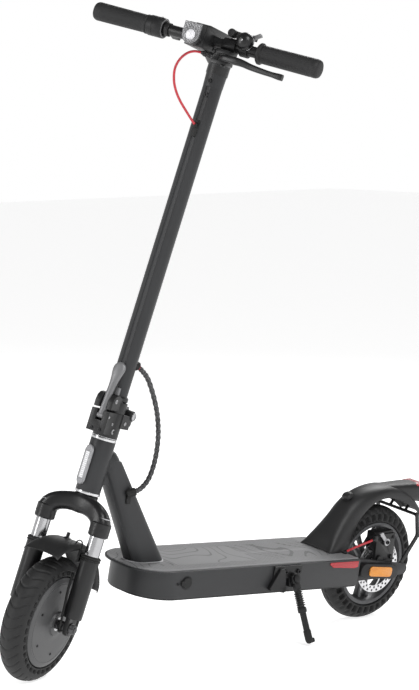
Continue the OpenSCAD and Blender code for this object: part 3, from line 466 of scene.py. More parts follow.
def fitted(name, place, spots, part, paint, body, size=1.0, sharp=35):
    """Copies of a small part at (point, way, stretch, forth) spots on a bench, as one mesh."""
    sample = Piece(Matrix.Scale(0.001, 4))
    part(sample)
    bmesh.ops.recalc_face_normals(sample.shape, faces=sample.shape.faces)
    sample.shape.transform(sample.place)
    pattern = bpy.data.meshes.new(name + "_part")
    sample.shape.to_mesh(pattern)
    sample.shape.free()
    pattern_object = bpy.data.objects.new(name + "_part", pattern)
    scene.collection.objects.link(pattern_object)
    mesh = bpy.data.meshes.new(name)
    mesh.from_pydata([place @ Vector(s[0]) for s in spots], [], [])
    turn = place.to_3x3().normalized()
    for field, values in (("way", [turn @ Vector(s[1]) for s in spots]),
                          ("stretch", [Vector(s[2]) if len(s) > 2 else Vector((1, 1, 1))
                                       for s in spots]),
                          ("forth", [turn @ Vector(s[3] if len(s) > 3 else (0.83, 0.2, 0.52))
                                     for s in spots])):
        mesh.attributes.new(field, "FLOAT_VECTOR", "POINT").data.foreach_set(
            "vector", [c for v in values for c in v])
    host = bpy.data.objects.new(name + "_spots", mesh)
    scene.collection.objects.link(host)
    setting = host.modifiers.new("fit", "NODES")
    setting.node_group = fit_on_points
    sockets = {s.name: s.identifier for s in fit_on_points.interface.items_tree}
    setting[sockets["Part"]], setting[sockets["Size"]] = pattern_object, size
    setting[sockets["Paint"]] = paint
    bpy.context.view_layer.update()
    made = bpy.data.meshes.new_from_object(
        host.evaluated_get(bpy.context.evaluated_depsgraph_get()))
    host.modifiers.clear()
    bpy.data.objects.remove(host)
    bpy.data.objects.remove(pattern_object)
    return dress(name, made, paint, body, (), sharp)


axle_left = pins["rear_wheel_spin"]["axis"]
mat_above_underside = 0.0631
deck = bench(Vector(deck_face["pos_m"]) + mat_above_underside * deck_up, axle_left, deck_up)
nose_x, nose_r, nose_flat = 238, 71, 12.5
mat_edge = nose_r + nose_flat
mat_nose = [(nose_x + nose_r * math.cos(t), side * nose_flat + nose_r * math.sin(t))
            for side, first in ((-1, -90), (1, 0)) for k in range(17)
            for t in (math.radians(first + 90 * k / 16),)]
mat_outline = mat_nose + [(-293, mat_edge), (-293, 40), (-255, 40), (-255, -40), (-293, -40),
                          (-293, -mat_edge)]
deck_left, deck_ahead = deck.to_3x3() @ Vector((0, 1, 0)), deck.to_3x3() @ Vector((1, 0, 0))


def mat_skin(here):
    across, along = here.along(deck_left, deck.translation), here.along(deck_ahead, deck.translation)
    wander = here.grain(5.5, 1.0)
    lines = (wander * 16).maths("PINGPONG", wander * 16, 0.5)
    groove_relief_and_shade = (lines < 0.07) * (across.maths("ABSOLUTE", across) < 52)
    dots = here.maths("SINE", across * 2.1) * 0.5 + 0.5
    dust = here.grain(14, 5)
    fine = here.grain(1100, 3)
    tone = dust.mix((0.17, 0.17, 0.173), (0.25, 0.25, 0.255))
    # The contour grooves are mixed toward near black: painted shade in the recesses.
    return {"Base Color": (groove_relief_and_shade * 0.55).mix(tone, (0.05, 0.05, 0.052)),
            "Roughness": (dust - 0.5) * 0.2 + 0.56,
            "Normal": here.bump(groove_relief_and_shade * -0.7 + fine * 0.12 + dots * 0.05, 0.7)}


mat_rubber = finish("grey_mat_rubber", mat_skin, {"Specular IOR Level": 0.4})
mat = Piece(deck)
mat.slab(mat_outline, -2.9, -0.4, soft=0.9)
mat.done("deck_mat_sheet", mat_rubber, "frame", ["deck_mat"])


def mat_reach(x):
    """Half the length of the raised bar that crosses the mat at x."""
    round_part = math.sqrt(max(0, nose_r ** 2 - (x - nose_x) ** 2))
    return 77 if x < nose_x else nose_flat + round_part - 7


def mat_bar(piece):
    piece.slab([(-1.7, -1), (1.7, -1), (1.7, 1), (-1.7, 1)], -0.3, 0.35, soft=0.3)


bars = []
for k in range(66):
    x = -246 + 8.2 * k
    reach = mat_reach(x)
    free = 34 if abs(x - 247) > 49 else 62
    for side in (-1, 1):
        spans = ((52, reach),) if x > -30 and x < 190 else ((6, reach),)
        for near, far in spans:
            near = max(near, free - 28 if abs(x - 247) > 49 else 34)
            if far - near > 6:
                bars.append(((x, side * (near + far) / 2, -0.3), (0, 0, 1),
                             (1, (far - near) / 2, 1), (1, 0, 0)))
fitted("deck_mat_bars", deck, bars, mat_bar, mat_rubber, "frame")

# ---- Down tube and head tube ---------------------------------------------------------
# Oval aluminium down tube welded to the deck's top plate and to the back of the head
# tube, powder coated with the deck. The welds show as rows of overlapping beads.

eased("down_tube", 0.0, frame_coat, "frame")
eased("head_tube", 0.8, frame_coat, "frame")


def weld_skin(here):
    ripple = here.grain(420, 3)
    return {"Base Color": ripple.mix((0.22, 0.22, 0.225), (0.5, 0.5, 0.51)),
            "Roughness": ripple * 0.3 + 0.3, "Normal": here.bump(ripple, 0.15)}


weld_metal = finish("weld_bead", weld_skin, {"Metallic": 0.6})


def bead(piece):
    piece.turned([(0, -1), (0.75, -0.66), (1, 0), (0.75, 0.66), (0, 1)], steps=12)


foot_ring = []
for k in range(78):
    t = 2 * math.pi * k / 78
    foot_ring.append(((247 + 17 * (1 if math.cos(t) > 0 else -1) + 27.5 * math.cos(t),
                       27.5 * math.sin(t), 0.6), (0, 0, 1), (1.5, 2.3, 1.5),
                      (-math.sin(t), math.cos(t), 0)))
for side in (-1, 1):
    for k in range(13):
        foot_ring.append(((247 - 16 + 2.6 * k, side * 27.5, 0.6), (0, 0, 1), (1.6, 2.3, 1.5),
                          (1, 0, 0)))
fitted("foot_weld", deck, foot_ring, bead, weld_metal, "frame")

steer_pin = pins["steering"]
hub_pin = pins["front_wheel_spin"]
hub_ahead = Vector(hub_pin["axis"]).cross(Vector(steer_pin["axis"]))
axis_foot = Vector(hub_pin["pos_m"]) - 0.0247 * hub_ahead
neck = bench(axis_foot, axle_left, steer_pin["axis"])
steering = bench(axis_foot, hub_pin["axis"], steer_pin["axis"])
upright = Vector((1, 0, 0)).cross(Vector(axle_left))
rear_axle = Vector(pins["rear_wheel_spin"]["pos_m"])
chassis = bench(rear_axle - 0.127 * upright, axle_left, upright)
tube_end = Vector((-34, 0, 322))
tube_way = (tube_end - neck.inverted() @ (deck @ Vector((247, 0, 0)))).normalized()
tube_cap = Piece(neck)
tube_cap.swept([tube_end + tube_way * k for k in (-4, 8, 18, 26, 31, 33)], circle(1, 48),
               [(r, r) for r in (21.9, 21.7, 20, 16, 9.5, 1)], up=(0, 1, 0))
tube_cap.done("down_tube_upper_end", frame_coat, "frame", sharp=50)

# The head tube's white reflector: a capsule of clear plastic over a prismatic sheet,
# glued in a grey frame on the tube's front.


def prism_skin(colour, deep, pitch):
    def recipe(here):
        cells = here.node("ShaderNodeTexVoronoi", {"distance": "CHEBYCHEV"},
                          {"Vector": here, "Scale": pitch, "Randomness": 0.25})
        cloud = here.grain(60, 3)
        return {"Base Color": (cells * 0.9 + cloud * 0.3).mix(colour, deep),
                "Roughness": cells * 0.25 + 0.12, "Normal": here.bump(cells, 0.5)}
    return recipe


white_prism = finish("white_prism_reflector", prism_skin((0.42, 0.42, 0.43), (0.1, 0.1, 0.11), 330),
                     {"Coat Weight": 0.3, "Coat Roughness": 0.12})
reflector = Piece(neck)
capsule = [(10 * math.cos(t), 312 + side * 30 + 10 * math.sin(t))
           for side, first in ((1, 0), (-1, 180)) for k in range(13)
           for t in (math.radians(first + 15 * k),)]
face_on = Matrix(((0, 0, 1, 25.1), (1, 0, 0, 0), (0, 1, 0, 0), (0, 0, 0, 1)))
reflector.slab(capsule, 0, 4.9, face_on, soft=1.2)
reflector.done("front_reflector_capsule", white_prism, "frame",
               ["front_reflector"])
lens_bars = [((30, 0, 287 + 3.8 * k), (1, 0, 0), (1, 1, 1), (0, 1, 0)) for k in range(14)]


def lens_bar(piece):
    piece.slab([(-5.2, -1.7), (5.2, -1.7), (5.2, 1.7), (-5.2, 1.7)], -0.4, 0.4, soft=0.4)


white_lens = finish("white_lens_bars", prism_skin((0.95, 0.95, 0.96), (0.55, 0.55, 0.57), 500),
                    {"Coat Weight": 0.5, "Coat Roughness": 0.08})
fitted("front_reflector_bars", neck, lens_bars, lens_bar, white_lens, "frame")

# ---- Headset ------------------------------------------------------------------------
# Two pressed steel bearing cups; their lips show as bright rings above and below the tube.


def steel_skin(colour, shine, way, pitch=2600, scratch=0.02):
    def recipe(here):
        across = here.along(way, (0, 0, 0))
        streak = here.node("ShaderNodeTexNoise", {"noise_dimensions": "1D"},
                           {"W": across * (pitch / 1000), "Detail": 3.0})
        smear = here.grain(45, 4)
        light = tuple(min(1, c * 1.12) for c in colour)
        dark = tuple(c * 0.82 for c in colour)
        return {"Base Color": smear.mix(dark, light),
                "Roughness": (smear - 0.5) * 0.22 + streak * 0.08 + shine,
                "Normal": here.bump(streak, scratch)}
    return recipe


bright_steel = finish("turned_steel", steel_skin((0.62, 0.62, 0.63), 0.22, steer_pin["axis"]),
                      {"Metallic": 1.0})
axle_steel = finish("axle_steel", steel_skin((0.55, 0.55, 0.56), 0.3, hub_pin["axis"]),
                    {"Metallic": 1.0})
eased("headset_bearings", 0.4, bright_steel, "frame")
paint_node("steerer_tube", bright_steel)

# ---- Cable entry on the down tube ----------------------------------------------------
# Black rubber gland that the wrapped wiring goes into, and the small clip under it.

rubber = coating("black_rubber", (0.009, 0.009, 0.009), 0.6, 700, 0.12, 0.35,
                 {"Specular IOR Level": 0.3})
gland = Piece(chassis)
gland.rod((711, 33.5, 370.3), (727, 24, 363.5), 8.2, 1.6, bore=5.9)
gland.box((716, 15, 343), (727, 27, 359), 2.0)
gland.done("cable_gland", rubber, "frame")

# ---- Rear arms, caps and side reflectors ---------------------------------------------
# Two flat plates bolted inside the deck's end carry the axle. An oval plastic cap covers
# each axle end and holds an orange reflector.

eased("rear_arms", 1.4, frame_coat, "frame")
eased("arm_caps", 3.2, black_plastic, "frame")
orange_prism = finish("orange_prism_reflector",
                      prism_skin((0.8, 0.33, 0.03), (0.42, 0.12, 0.008), 300),
                      {"Coat Weight": 0.2, "Coat Roughness": 0.15})
arm_slope = math.radians(8.4)
lens = Piece(chassis)
for side in (1, -1):
    cap_face = (Matrix.Translation((0, side * 88.2, 127)) @ Matrix.Rotation(-arm_slope, 4, "Y")
                @ Matrix(((1, 0, 0, 41), (0, 0, side, 0), (0, 1, 0, 0), (0, 0, 0, 1))))
    lens.slab(rounded(68, 21, 6), 0, 2.8, cap_face, soft=0.9)
lens.done("side_reflector_lenses", orange_prism, "frame",
          ["side_reflectors"])

# Red reflector strips on the deck's rear side edges, tapering forward.
red_prism = finish("red_prism_reflector", prism_skin((0.5, 0.008, 0.018), (0.2, 0.002, 0.006), 330),
                   {"Coat Weight": 0.2, "Coat Roughness": 0.15})
strip = Piece(deck)
for side in (1, -1):
    side_face = Matrix(((1, 0, 0, 0), (0, 0, side, side * 87.2), (0, 1, 0, 0), (0, 0, 0, 1)))
    strip.slab([(-291, -6), (-291, -19), (-280, -21), (-216, -17), (-206, -10), (-206, -6)],
               0, 1.6, side_face, soft=0.5)
strip.done("red_side_strips", red_prism, "frame")

# ---- Rear mudguard and lamp ----------------------------------------------------------
# One moulding: a crowned guard that flares onto the deck, and a hollow tail that carries
# the red lamp. A knob on its front hooks the folded stem.

guard_stations = [((158, 0, 178), (158, 0, 174.4), 45), ((151, 0, 189), (146, 0, 172.8), 45),
                  ((141, 0, 204), (131, 0, 171.6), 44), ((123, 0, 226), (111, 0, 171), 41),
                  ((102, 0, 250), (94, 0, 175), 38), ((84, 0, 269), (84, 0, 196), 36),
                  ((60, 0, 284), (71, 0, 226), 34.5), ((30, 0, 293.5), (49, 0, 251), 34),
                  ((-4, 0, 297.5), (20, 0, 269), 34), ((-40, 0, 296), (-12, 0, 275), 34),
                  ((-80, 0, 283), (-46, 0, 269), 33.5), ((-112, 0, 262), (-84, 0, 253), 32.5),
                  ((-132, 0, 240), (-112, 0, 237), 31), ((-139, 0, 229), (-126, 0, 225), 29)]


def skin(piece, rows):
    """Joins rows of points into an open sheet whose faces point outward."""
    for first, second in zip(rows, rows[1:]):
        for k in range(len(first) - 1):
            piece.shape.faces.new((first[k], first[k + 1], second[k + 1], second[k]))
    bmesh.ops.recalc_face_normals(piece.shape, faces=piece.shape.faces)
    highest = max(piece.shape.faces, key=lambda face: face.calc_center_median().z)
    if highest.normal.z < 0:
        bmesh.ops.reverse_faces(piece.shape, faces=piece.shape.faces)


guard = Piece(chassis)
tops = smooth_line([s[0] for s in guard_stations], 3)
feet = smooth_line([s[1] for s in guard_stations], 3)
widths = smooth_line([(s[2], 0, 0) for s in guard_stations], 3)
rows = []
for top, foot, width in zip(tops, feet, widths):
    row = []
    for k in range(17):
        t = math.radians(-90 + 180 * k / 16)
        reach = abs(math.sin(t)) ** 0.8 * (1 if t > 0 else -1)
        row.append(foot + (top - foot) * math.cos(t) ** 0.55 + Vector((0, width.x * reach, 0)))
    rows.append([guard.shape.verts.new(p) for p in row])
skin(guard, rows)
guard_plastic = coating("mudguard_plastic", (0.013, 0.013, 0.0135), 0.46, 800, 0.06, 0.18,
                        {"Specular IOR Level": 0.35})


def shell(piece, name, paint, body, nodes, wall, rounds=0):
    """A thin wall grown inward from an open sheet whose faces already point outward."""
    piece.shape.transform(piece.place)
    mesh = bpy.data.meshes.new(name)
    piece.shape.to_mesh(mesh)
    piece.shape.free()
    draft = bpy.data.objects.new(name, mesh)
    scene.collection.objects.link(draft)
    sheet = draft.modifiers.new("wall", "SOLIDIFY")
    sheet.thickness, sheet.offset, sheet.use_even_offset = wall / 1000, -1, True
    sheet.use_rim = True
    if rounds:
        smooth = draft.modifiers.new("rounded", "SUBSURF")
        smooth.levels = smooth.render_levels = rounds
    bpy.context.view_layer.update()
    made = bpy.data.meshes.new_from_object(
        draft.evaluated_get(bpy.context.evaluated_depsgraph_get()))
    bpy.data.objects.remove(draft)
    return dress(name, made, paint, body, nodes, 40, 0.6)


shell(guard, "rear_mudguard", guard_plastic, "frame", ["rear_fender"], 2.6)

tail = Piece(chassis)
tail_line = [(-10, 0, 285), (-38, 0, 284), (-72, 0, 279), (-102, 0, 275), (-126, 0, 272),
             (-138, 0, 271)]
tail.swept(tail_line, rounded(2, 2, 0.55, 4),
           [(15, 9), (20, 13), (24, 17), (26, 20), (26.5, 20.5), (25.5, 19.5)])
tail.rod((68, 0, 266), (74, 0, 280), 8.5, 1.0)
tail.turned([(0, 0), (10, 0), (12, 2), (12, 6), (9.5, 9), (5, 10.2), (0, 10.5)],
            Matrix.Translation((73.5, 0, 278)) @ Matrix.Rotation(math.radians(26.3), 4, "Y"))
tail.done("mudguard_tail", guard_plastic, "frame", sharp=50)
lamp = Piece(chassis)
lamp.swept([(-131, 0, 271.4), (-139, 0, 271.2), (-142.8, 0, 271), (-143.4, 0, 271)],
           rounded(2, 2, 0.5, 4), [(27.2, 20.8), (26.9, 20.4), (24.5, 18.2), (22, 16)])
lamp.box((-140, -23, 288), (-116, 23, 292.6), 1.2)
lamp.done("tail_lamp_lens", red_prism, "frame", ["tail_light"], sharp=50)

eased("fender_stay", 0.8, black_coat, "frame")

# ---- Rear brake ---------------------------------------------------------------------
# Cable-pulled disc caliper in black cast aluminium, with a ribbed pad adjuster, two
# mounting bolts and a return lever that the red cable pulls forward.

eased("caliper_body", 1.6, black_coat, "frame")
grey_metal = coating("tumbled_aluminium", (0.36, 0.36, 0.37), 0.38, 900, 0.06, 0.2,
                     {"Metallic": 0.9})
eased("caliper_arm", 0.7, grey_metal, "caliper_lever")
pad_brown = coating("brake_pad_mix", (0.12, 0.08, 0.05), 0.85, 1300, 0.3, 0.5)
paint_node("brake_pads", pad_brown)
fittings = Piece(chassis)
gear = [((9.2 if k % 2 else 8.2) * math.cos(math.pi * k / 16),
         (9.2 if k % 2 else 8.2) * math.sin(math.pi * k / 16)) for k in range(32)]
outward = Matrix(((1, 0, 0, 0), (0, 0, 1, 0), (0, -1, 0, 0), (0, 0, 0, 1)))
fittings.slab(gear, 61.6, 66, Matrix.Translation((22, 0, 150)) @ outward, soft=0.6)
fittings.rod((-16, 58, 196), (-16, 62, 196), 5.4, 0.8)
fittings.rod((24, 57, 194), (24, 61.2, 194), 5.4, 0.8)
fittings.rod((-15, 61, 152), (-15, 65, 152), 4.6, 0.8)
fittings.box((-20, 58, 140), (30, 62.4, 147), 1.4)
fittings.done("caliper_fittings", black_coat, "frame")


def hex_socket(piece):
    """A socket-head cap screw, one millimetre across its head's radius."""
    piece.turned([(0, 0), (1, 0), (1, 0.75), (0.9, 0.85), (0.62, 0.85), (0.62, 0.78)], steps=24)
    piece.turned([(0.55, 0.85), (0.5, 0.35), (0, 0.35)], steps=6)
    piece.turned([(0.62, 0.85), (0.55, 0.85)], steps=24)


screw_black = coating("black_oxide_screw", (0.02, 0.02, 0.021), 0.32, 700, 0.05, 0.3,
                      {"Metallic": 0.7})
fitted("caliper_bolts", chassis, [((-16, 61.8, 196), (0, 1, 0), (3.6, 3.6, 2)),
                                  ((24, 61, 194), (0, 1, 0), (3.6, 3.6, 2)),
                                  ((6, 67.1, 188), (0, 1, 0), (4.4, 4.4, 3.4))],
       hex_socket, screw_black, "frame")


def cable_skin(colour):
    def recipe(here):
        cloud = here.grain(70, 3)
        fine = here.grain(2200, 2)
        return {"Base Color": cloud.mix(tuple(c * 0.8 for c in colour),
                                        tuple(min(1, c * 1.15) for c in colour)),
                "Roughness": fine * 0.15 + 0.32, "Normal": here.bump(fine, 0.04)}
    return recipe


red_sheath = finish("red_cable_sheath", cable_skin((0.42, 0.006, 0.018)),
                    {"Coat Weight": 0.3, "Coat Roughness": 0.2})
rear_cable = Piece(chassis)
rear_cable.swept(smooth_line([(114, 51, 176), (102, 53, 180), (88, 56, 185), (74, 60, 190),
                              (60, 64, 195), (47, 65, 199)], 4), circle(2.5, 14))
rear_cable.done("rear_brake_cable_sheath", red_sheath, "frame",
                ["rear_brake_cable"])
cable_ends = Piece(chassis)
cable_ends.rod((52, 64.6, 197.2), (44, 65.2, 200), 3.6, 0.6)
cable_ends.rod((44, 65.2, 200), (27, 65, 205), 0.8, 0.1, 10)
cable_ends.rod((112, 50.6, 175.6), (120, 49.6, 173), 4.2, 0.8)
cable_ends.done("rear_cable_ends", screw_black, "frame")

# ---- Tyres --------------------------------------------------------------------------
# Airless rubber tyres. A row of oval holes runs through each side near the rim, and curved
# grooves sweep back from the middle of the tread.


def tyre_skin(left, centre):
    def recipe(here):
        fine = here.grain(1300, 3)
        dust = here.grain(24, 5)
        side = here.along(left, centre)
        worn = 1 - side.maths("ABSOLUTE", side) / 22
        worn = worn.maths("MAXIMUM", worn, 0.0)
        return {"Base Color": (dust * 0.7 + worn * 0.35).mix((0.006, 0.006, 0.0062),
                                                            (0.022, 0.022, 0.0225)),
                "Roughness": (dust - 0.5) * 0.2 + 0.6,
                "Normal": here.bump(fine, 0.12)}
    return recipe


hole_black = coating("tyre_hole_shade", (0.003, 0.003, 0.003), 0.9, 400, 0.1)
rear_hub = chassis @ Matrix.Translation((0, 0, 127))
front_hub = steering @ Matrix.Translation((24.7, 0, 0))
tyre_rows = [0, 7, 16, 26, 36, 46, 55, 63, 72, 80, 87, 95, 101, 107.2]


def tyre(name, hub, body, node, grooves, notches):
    shape = Piece(hub)
    rows = [-a for a in tyre_rows[:0:-1]] + tyre_rows
    columns, grid = 180, []
    for lean in rows:
        t = math.radians(lean)
        sweep = 0.115 * min(abs(lean) / 50, 1) ** 1.6 if grooves else 0.0
        radius, side = 100 + 27 * math.cos(t), 27 * math.sin(t)
        grid.append([shape.shape.verts.new((radius * math.cos(2 * math.pi * k / columns + sweep),
                                            side,
                                            radius * math.sin(2 * math.pi * k / columns + sweep)))
                     for k in range(columns)])
    cut, holes = [], []
    for r in range(len(rows) - 1):
        middle = abs(rows[r] + rows[r + 1]) / 2
        for k in range(columns):
            face = shape.shape.faces.new((grid[r][k - 1], grid[r][k],
                                          grid[r + 1][k], grid[r + 1][k - 1]))
            if (63 if notches else 80) < middle < 95 and k % 5 in (1, 2, 3):
                holes.append(face)
            elif (grooves and 5 < middle < 55 and k % 5 == 0
                  or grooves and middle < 8 and k % 10 == 5
                  or notches and 36 < middle < 62 and k % 5 in (0, 1)
                  or notches and 10 < middle < 20 and k % 5 != 2):
                cut.append(face)
    for k in range(columns):
        shape.shape.faces.new((grid[0][k], grid[0][k - 1], grid[-1][k - 1], grid[-1][k]))
    bmesh.ops.recalc_face_normals(shape.shape, faces=shape.shape.faces)
    bmesh.ops.inset_region(shape.shape, faces=cut, thickness=0.5, depth=-1.8,
                           use_even_offset=True)
    bmesh.ops.inset_region(shape.shape, faces=holes, thickness=0.9, depth=-6,
                           use_even_offset=True)
    for face in holes:
        face.material_index = 1
    rubber_skin = finish(name + "_rubber", tyre_skin(hub.to_3x3() @ Vector((0, 1, 0)),
                                                     hub.translation),
                         {"Specular IOR Level": 0.35})
    return shape.done(name, [rubber_skin, hole_black], body, [node], 50, rounds=1)


tyre("rear_tyre_tread", rear_hub, "rear_wheel", "rear_tyre", False, True)
tyre("front_tyre_tread", front_hub, "front_wheel", "front_tyre", True, False)

# ---- Rear rim, rotor and axle --------------------------------------------------------
# Cast grey rim with five split spokes, a drilled stainless rotor screwed to its left
# side, and a nutted steel axle.

cast_grey = coating("cast_rim_paint", (0.085, 0.086, 0.09), 0.42, 900, 0.08, 0.15,
                    {"Metallic": 0.35})
to_axle = Matrix(((1, 0, 0, 0), (0, 0, 1, 0), (0, -1, 0, 0), (0, 0, 0, 1)))
rim = Piece(rear_hub)
rim.turned([(91.8, -24), (91.8, 24), (88, 25.5), (84, 24), (80.5, 16), (79, 0), (80.5, -16),
            (84, -24), (88, -25.5)], to_axle, 96, loop=True)
rim.turned([(14.1, -34), (14.1, 37.8), (25, 37.8), (26.5, 36.5), (26.5, 33), (21, 30),
            (20, 20), (20, -32), (18.5, -34)], to_axle, 48, loop=True)
for k in range(5):
    turn = Matrix.Rotation(math.radians(72 * k + 18), 4, "Y")
    for side in (-1, 1):
        start, end = turn @ Vector((17, 0, side * 5)), turn @ Vector((82.5, 0, side * 13))
        rim.swept([start, start.lerp(end, 0.5), end], rounded(2, 2, 0.6, 3),
                  [(8, 5.2), (6.6, 3.6), (9.5, 4.6)], up=turn @ Vector((0, 0, 1)))
rim.done("rear_rim_cast", cast_grey, "rear_wheel", ["rear_rim"], 40)

rotor = Piece(rear_hub)
radii = [44.5, 46.5, 48.6, 50.8, 53, 55.2, 57.4, 59.9]
steps = 216
net = [[rotor.shape.verts.new((r * math.cos(2 * math.pi * k / steps), 38.1,
                               r * math.sin(2 * math.pi * k / steps))) for k in range(steps)]
       for r in radii]
for row in range(len(radii) - 1):
    for k in range(steps):
        hole = (row in (1, 2) and k % 9 in (1, 2, 3)) or (row in (4, 5) and k % 9 in (5, 6, 7))
        if not hole:
            rotor.shape.faces.new((net[row][k - 1], net[row][k], net[row + 1][k],
                                   net[row + 1][k - 1]))
inner = [[rotor.shape.verts.new((r * math.cos(2 * math.pi * k / 48), 38.1,
                                 r * math.sin(2 * math.pi * k / 48))) for k in range(48)]
         for r in (16.5, 26)]
for k in range(48):
    rotor.shape.faces.new((inner[0][k - 1], inner[0][k], inner[1][k], inner[1][k - 1]))
for k in range(6):
    a = math.radians(60 * k)
    line = [Vector(((25 + 20.5 * s) * math.cos(a + 0.5 * s), 38.1,
                    (25 + 20.5 * s) * math.sin(a + 0.5 * s))) for s in (0, 0.25, 0.5, 0.75, 1)]
    edge = []
    for p in line:
        side = Vector((-p.z, 0, p.x)).normalized() * 2.6
        edge.append((rotor.shape.verts.new(p - side), rotor.shape.verts.new(p + side)))
    for (a0, a1), (b0, b1) in zip(edge, edge[1:]):
        rotor.shape.faces.new((a0, b0, b1, a1))
for face in rotor.shape.faces:
    face.normal_update()
    if face.normal.y < 0:
        face.normal_flip()
for corner in rotor.shape.verts:
    corner.co.y = 40.2
brushed = finish("brushed_rotor_steel", steel_skin((0.66, 0.66, 0.67), 0.28, (1, 0, 0.4)),
                 {"Metallic": 1.0})
shell(rotor, "brake_rotor_drilled", brushed, "rear_wheel", ["brake_rotor"], 2.0)
fitted("rotor_screws", rear_hub,
       [((21.5 * math.cos(t), 40.2, 21.5 * math.sin(t)), (0, 1, 0), (2.6, 2.6, 2.2))
        for k in range(6) for t in (math.radians(60 * k + 30),)],
       hex_socket, screw_black, "rear_wheel")
eased("rear_axle", 0.7, axle_steel, "frame")
paint_node("rear_bearings", axle_steel)

# ---- Charging port cap ---------------------------------------------------------------
# Soft rubber disc on a strap that closes the socket in the deck's left side, with a thumb
# tab at its rear edge.

charge_plug = Piece(deck)
charge_plug.rod((199, 87.9, -27), (199, 91.6, -27), 12, 1.4)
charge_plug.box((207, 87.9, -32), (215, 91.2, -22), 0.8)
charge_plug.done("charge_port_cap", rubber, "charge_port_cap", ["charge_cap"])
port_ring = Piece(deck)
port_ring.turned([(12.6, 0), (14.4, 0), (14.2, 0.7), (12.8, 0.7)],
                 Matrix.Translation((199, 87.4, -27)) @ outward, loop=True)
port_ring.done("charge_port_rim", black_plastic, "frame")
fitted("port_screw", deck, [((222, 87.4, -29), (0, 1, 0), (3, 3, 1.6))], hex_socket,
       screw_black, "frame")

# ---- Side stand ---------------------------------------------------------------------
# Cast bracket bolted to the deck's left side; a fluted alloy leg on a splayed pivot, with a
# coil return spring, a clamp collar and a rubber shoe.

eased("stand_bracket", 1.4, black_coat, "frame")
stand_pin = pins["kickstand_turn"]
stand = bench(stand_pin["pos_m"], stand_pin["axis"],
              Vector((1, 0, 0)).cross(Vector(stand_pin["axis"])))
foot_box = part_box("stand_foot")
leg_turn = Matrix.Rotation(math.radians(7), 4, "Y")
leg_place = stand @ leg_turn @ Matrix.Translation((0, 4.5, 0))
reach = -(leg_place.inverted() @ ((foot_box[0] + foot_box[1]) / 2)).z + 6
leg = Piece(leg_place)
flutes = [((6.9 - (1.1 if k % 4 in (0, 1) else 0)) * math.cos(2 * math.pi * k / 32),
           (6.9 - (1.1 if k % 4 in (0, 1) else 0)) * math.sin(2 * math.pi * k / 32))
          for k in range(32)]
leg.slab(flutes, -reach + 12, -64, soft=0.3)
leg.rod((0, 0, -66), (0, 0, -22), 6.4, 0.5)
leg.rod((0, -4.4, 0), (0, 4.4, 0), 10.9, 1.2)
leg.box((-7.6, -4.4, -27), (7.6, 4.4, -2), 1.4)
leg.turned([(6.5, -72), (9.2, -71), (9.6, -68), (9.6, -64), (9.2, -61), (6.5, -60)], steps=36,
           loop=True)
leg.done("stand_leg_fluted", black_coat, "kickstand", ["stand_leg"])
coil = Piece(leg_place)
coil.swept([(8.6 * math.cos(t), 8.6 * math.sin(t), -27 - 32 * k / 168)
            for k in range(169) for t in (2 * math.pi * k / 24,)], circle(1.1, 8))
coil.done("stand_spring_coil", screw_black, "kickstand", ["stand_spring"])
shoe = Piece(leg_place)
shoe.turned([(7.1, -reach + 23), (7.8, -reach + 22), (8.1, -reach + 19), (8, -reach + 4),
             (7.4, -reach - 1), (5, -reach - 4.6), (2.4, -reach - 5.9), (0, -reach - 6.2)],
            steps=40)
shoe.box((-13, -5, -reach - 5.6), (4, 5, -reach + 4), 3)
shoe.done("stand_shoe", rubber, "kickstand", ["stand_foot"], 50)
stand_plate = Piece(deck)
side_wall = Matrix(((1, 0, 0, 0), (0, 0, 1, 0), (0, 1, 0, 0), (0, 0, 0, 1)))
stand_plate.slab([(-65, -9), (-53, -9), (-30, -48), (-31, -54), (-72, -61), (-77, -57)], 87.7, 98,
                 side_wall, soft=2)
stand_plate.slab([(-119, -5), (-40, -5), (-40, -14), (-60, -24), (-119, -24)], 87.7, 92.5, side_wall,
                 soft=1.4)
stand_plate.done("stand_side_plate", black_coat, "frame")
fitted("bracket_bolts", deck, [((-108, 92.4, -17), (0, 1, 0), (5, 5, 4.4)),
                               ((-71, 92.4, -17), (0, 1, 0), (5, 5, 4.4))],
       hex_socket, screw_black, "frame")

# ---- Front hub motor -----------------------------------------------------------------
# Two painted aluminium side covers screwed over the magnet ring, with the copper stator
# fixed on the axle inside. The axle nuts clamp the fork's flat drop-outs.

hub_grey = coating("hub_cover_paint", (0.06, 0.0605, 0.062), 0.4, 1000, 0.08, 0.1,
                   {"Metallic": 0.2})
hub = Piece(front_hub)
cover = [(14.1, 36.8), (20, 37), (23.4, 36.2), (24, 34.5), (24.8, 32.2), (27, 31.4), (40, 31),
         (64, 30.4), (79.5, 29.4), (80.4, 28.6), (81.4, 28.6), (82.3, 29.1), (88.5, 27.6),
         (91.2, 26.4), (91.9, 24.5)]
hub.turned([(14.1, -36.8), *cover, *[(r, -h) for r, h in cover[::-1]]], to_axle, 120, loop=True)
hub.done("hub_motor_covers", hub_grey, "front_wheel", ["hub_shell"], 28)
fitted("hub_cover_screws", front_hub,
       [((65 * math.cos(t), side * 29.4, 65 * math.sin(t)), (0, side, 0), (2.9, 2.9, 2.1))
        for side in (1, -1) for k in range(6) for t in (math.radians(60 * k + 14),)],
       hex_socket, screw_black, "front_wheel")
copper = coating("stator_copper", (0.36, 0.12, 0.04), 0.35, 700, 0.2, 0.3, {"Metallic": 0.9})
paint_node("motor_stator", copper)
paint_node("hub_bearings", axle_steel)
front_axle_steel = finish("front_axle_steel", steel_skin((0.1, 0.1, 0.103), 0.36,
                                                         steering.to_3x3() @ Vector((0, 1, 0))),
                          {"Metallic": 1.0})
eased("front_axle", 0.7, front_axle_steel, "fork_lower")
motor_lead = Piece(front_hub)
motor_lead.swept(smooth_line([(6, 47, -8), (14, 49, -2), (19, 50, 12), (17, 47, 40), (12, 41, 74),
                              (6, 38, 102)], 3), circle(2.6, 12))
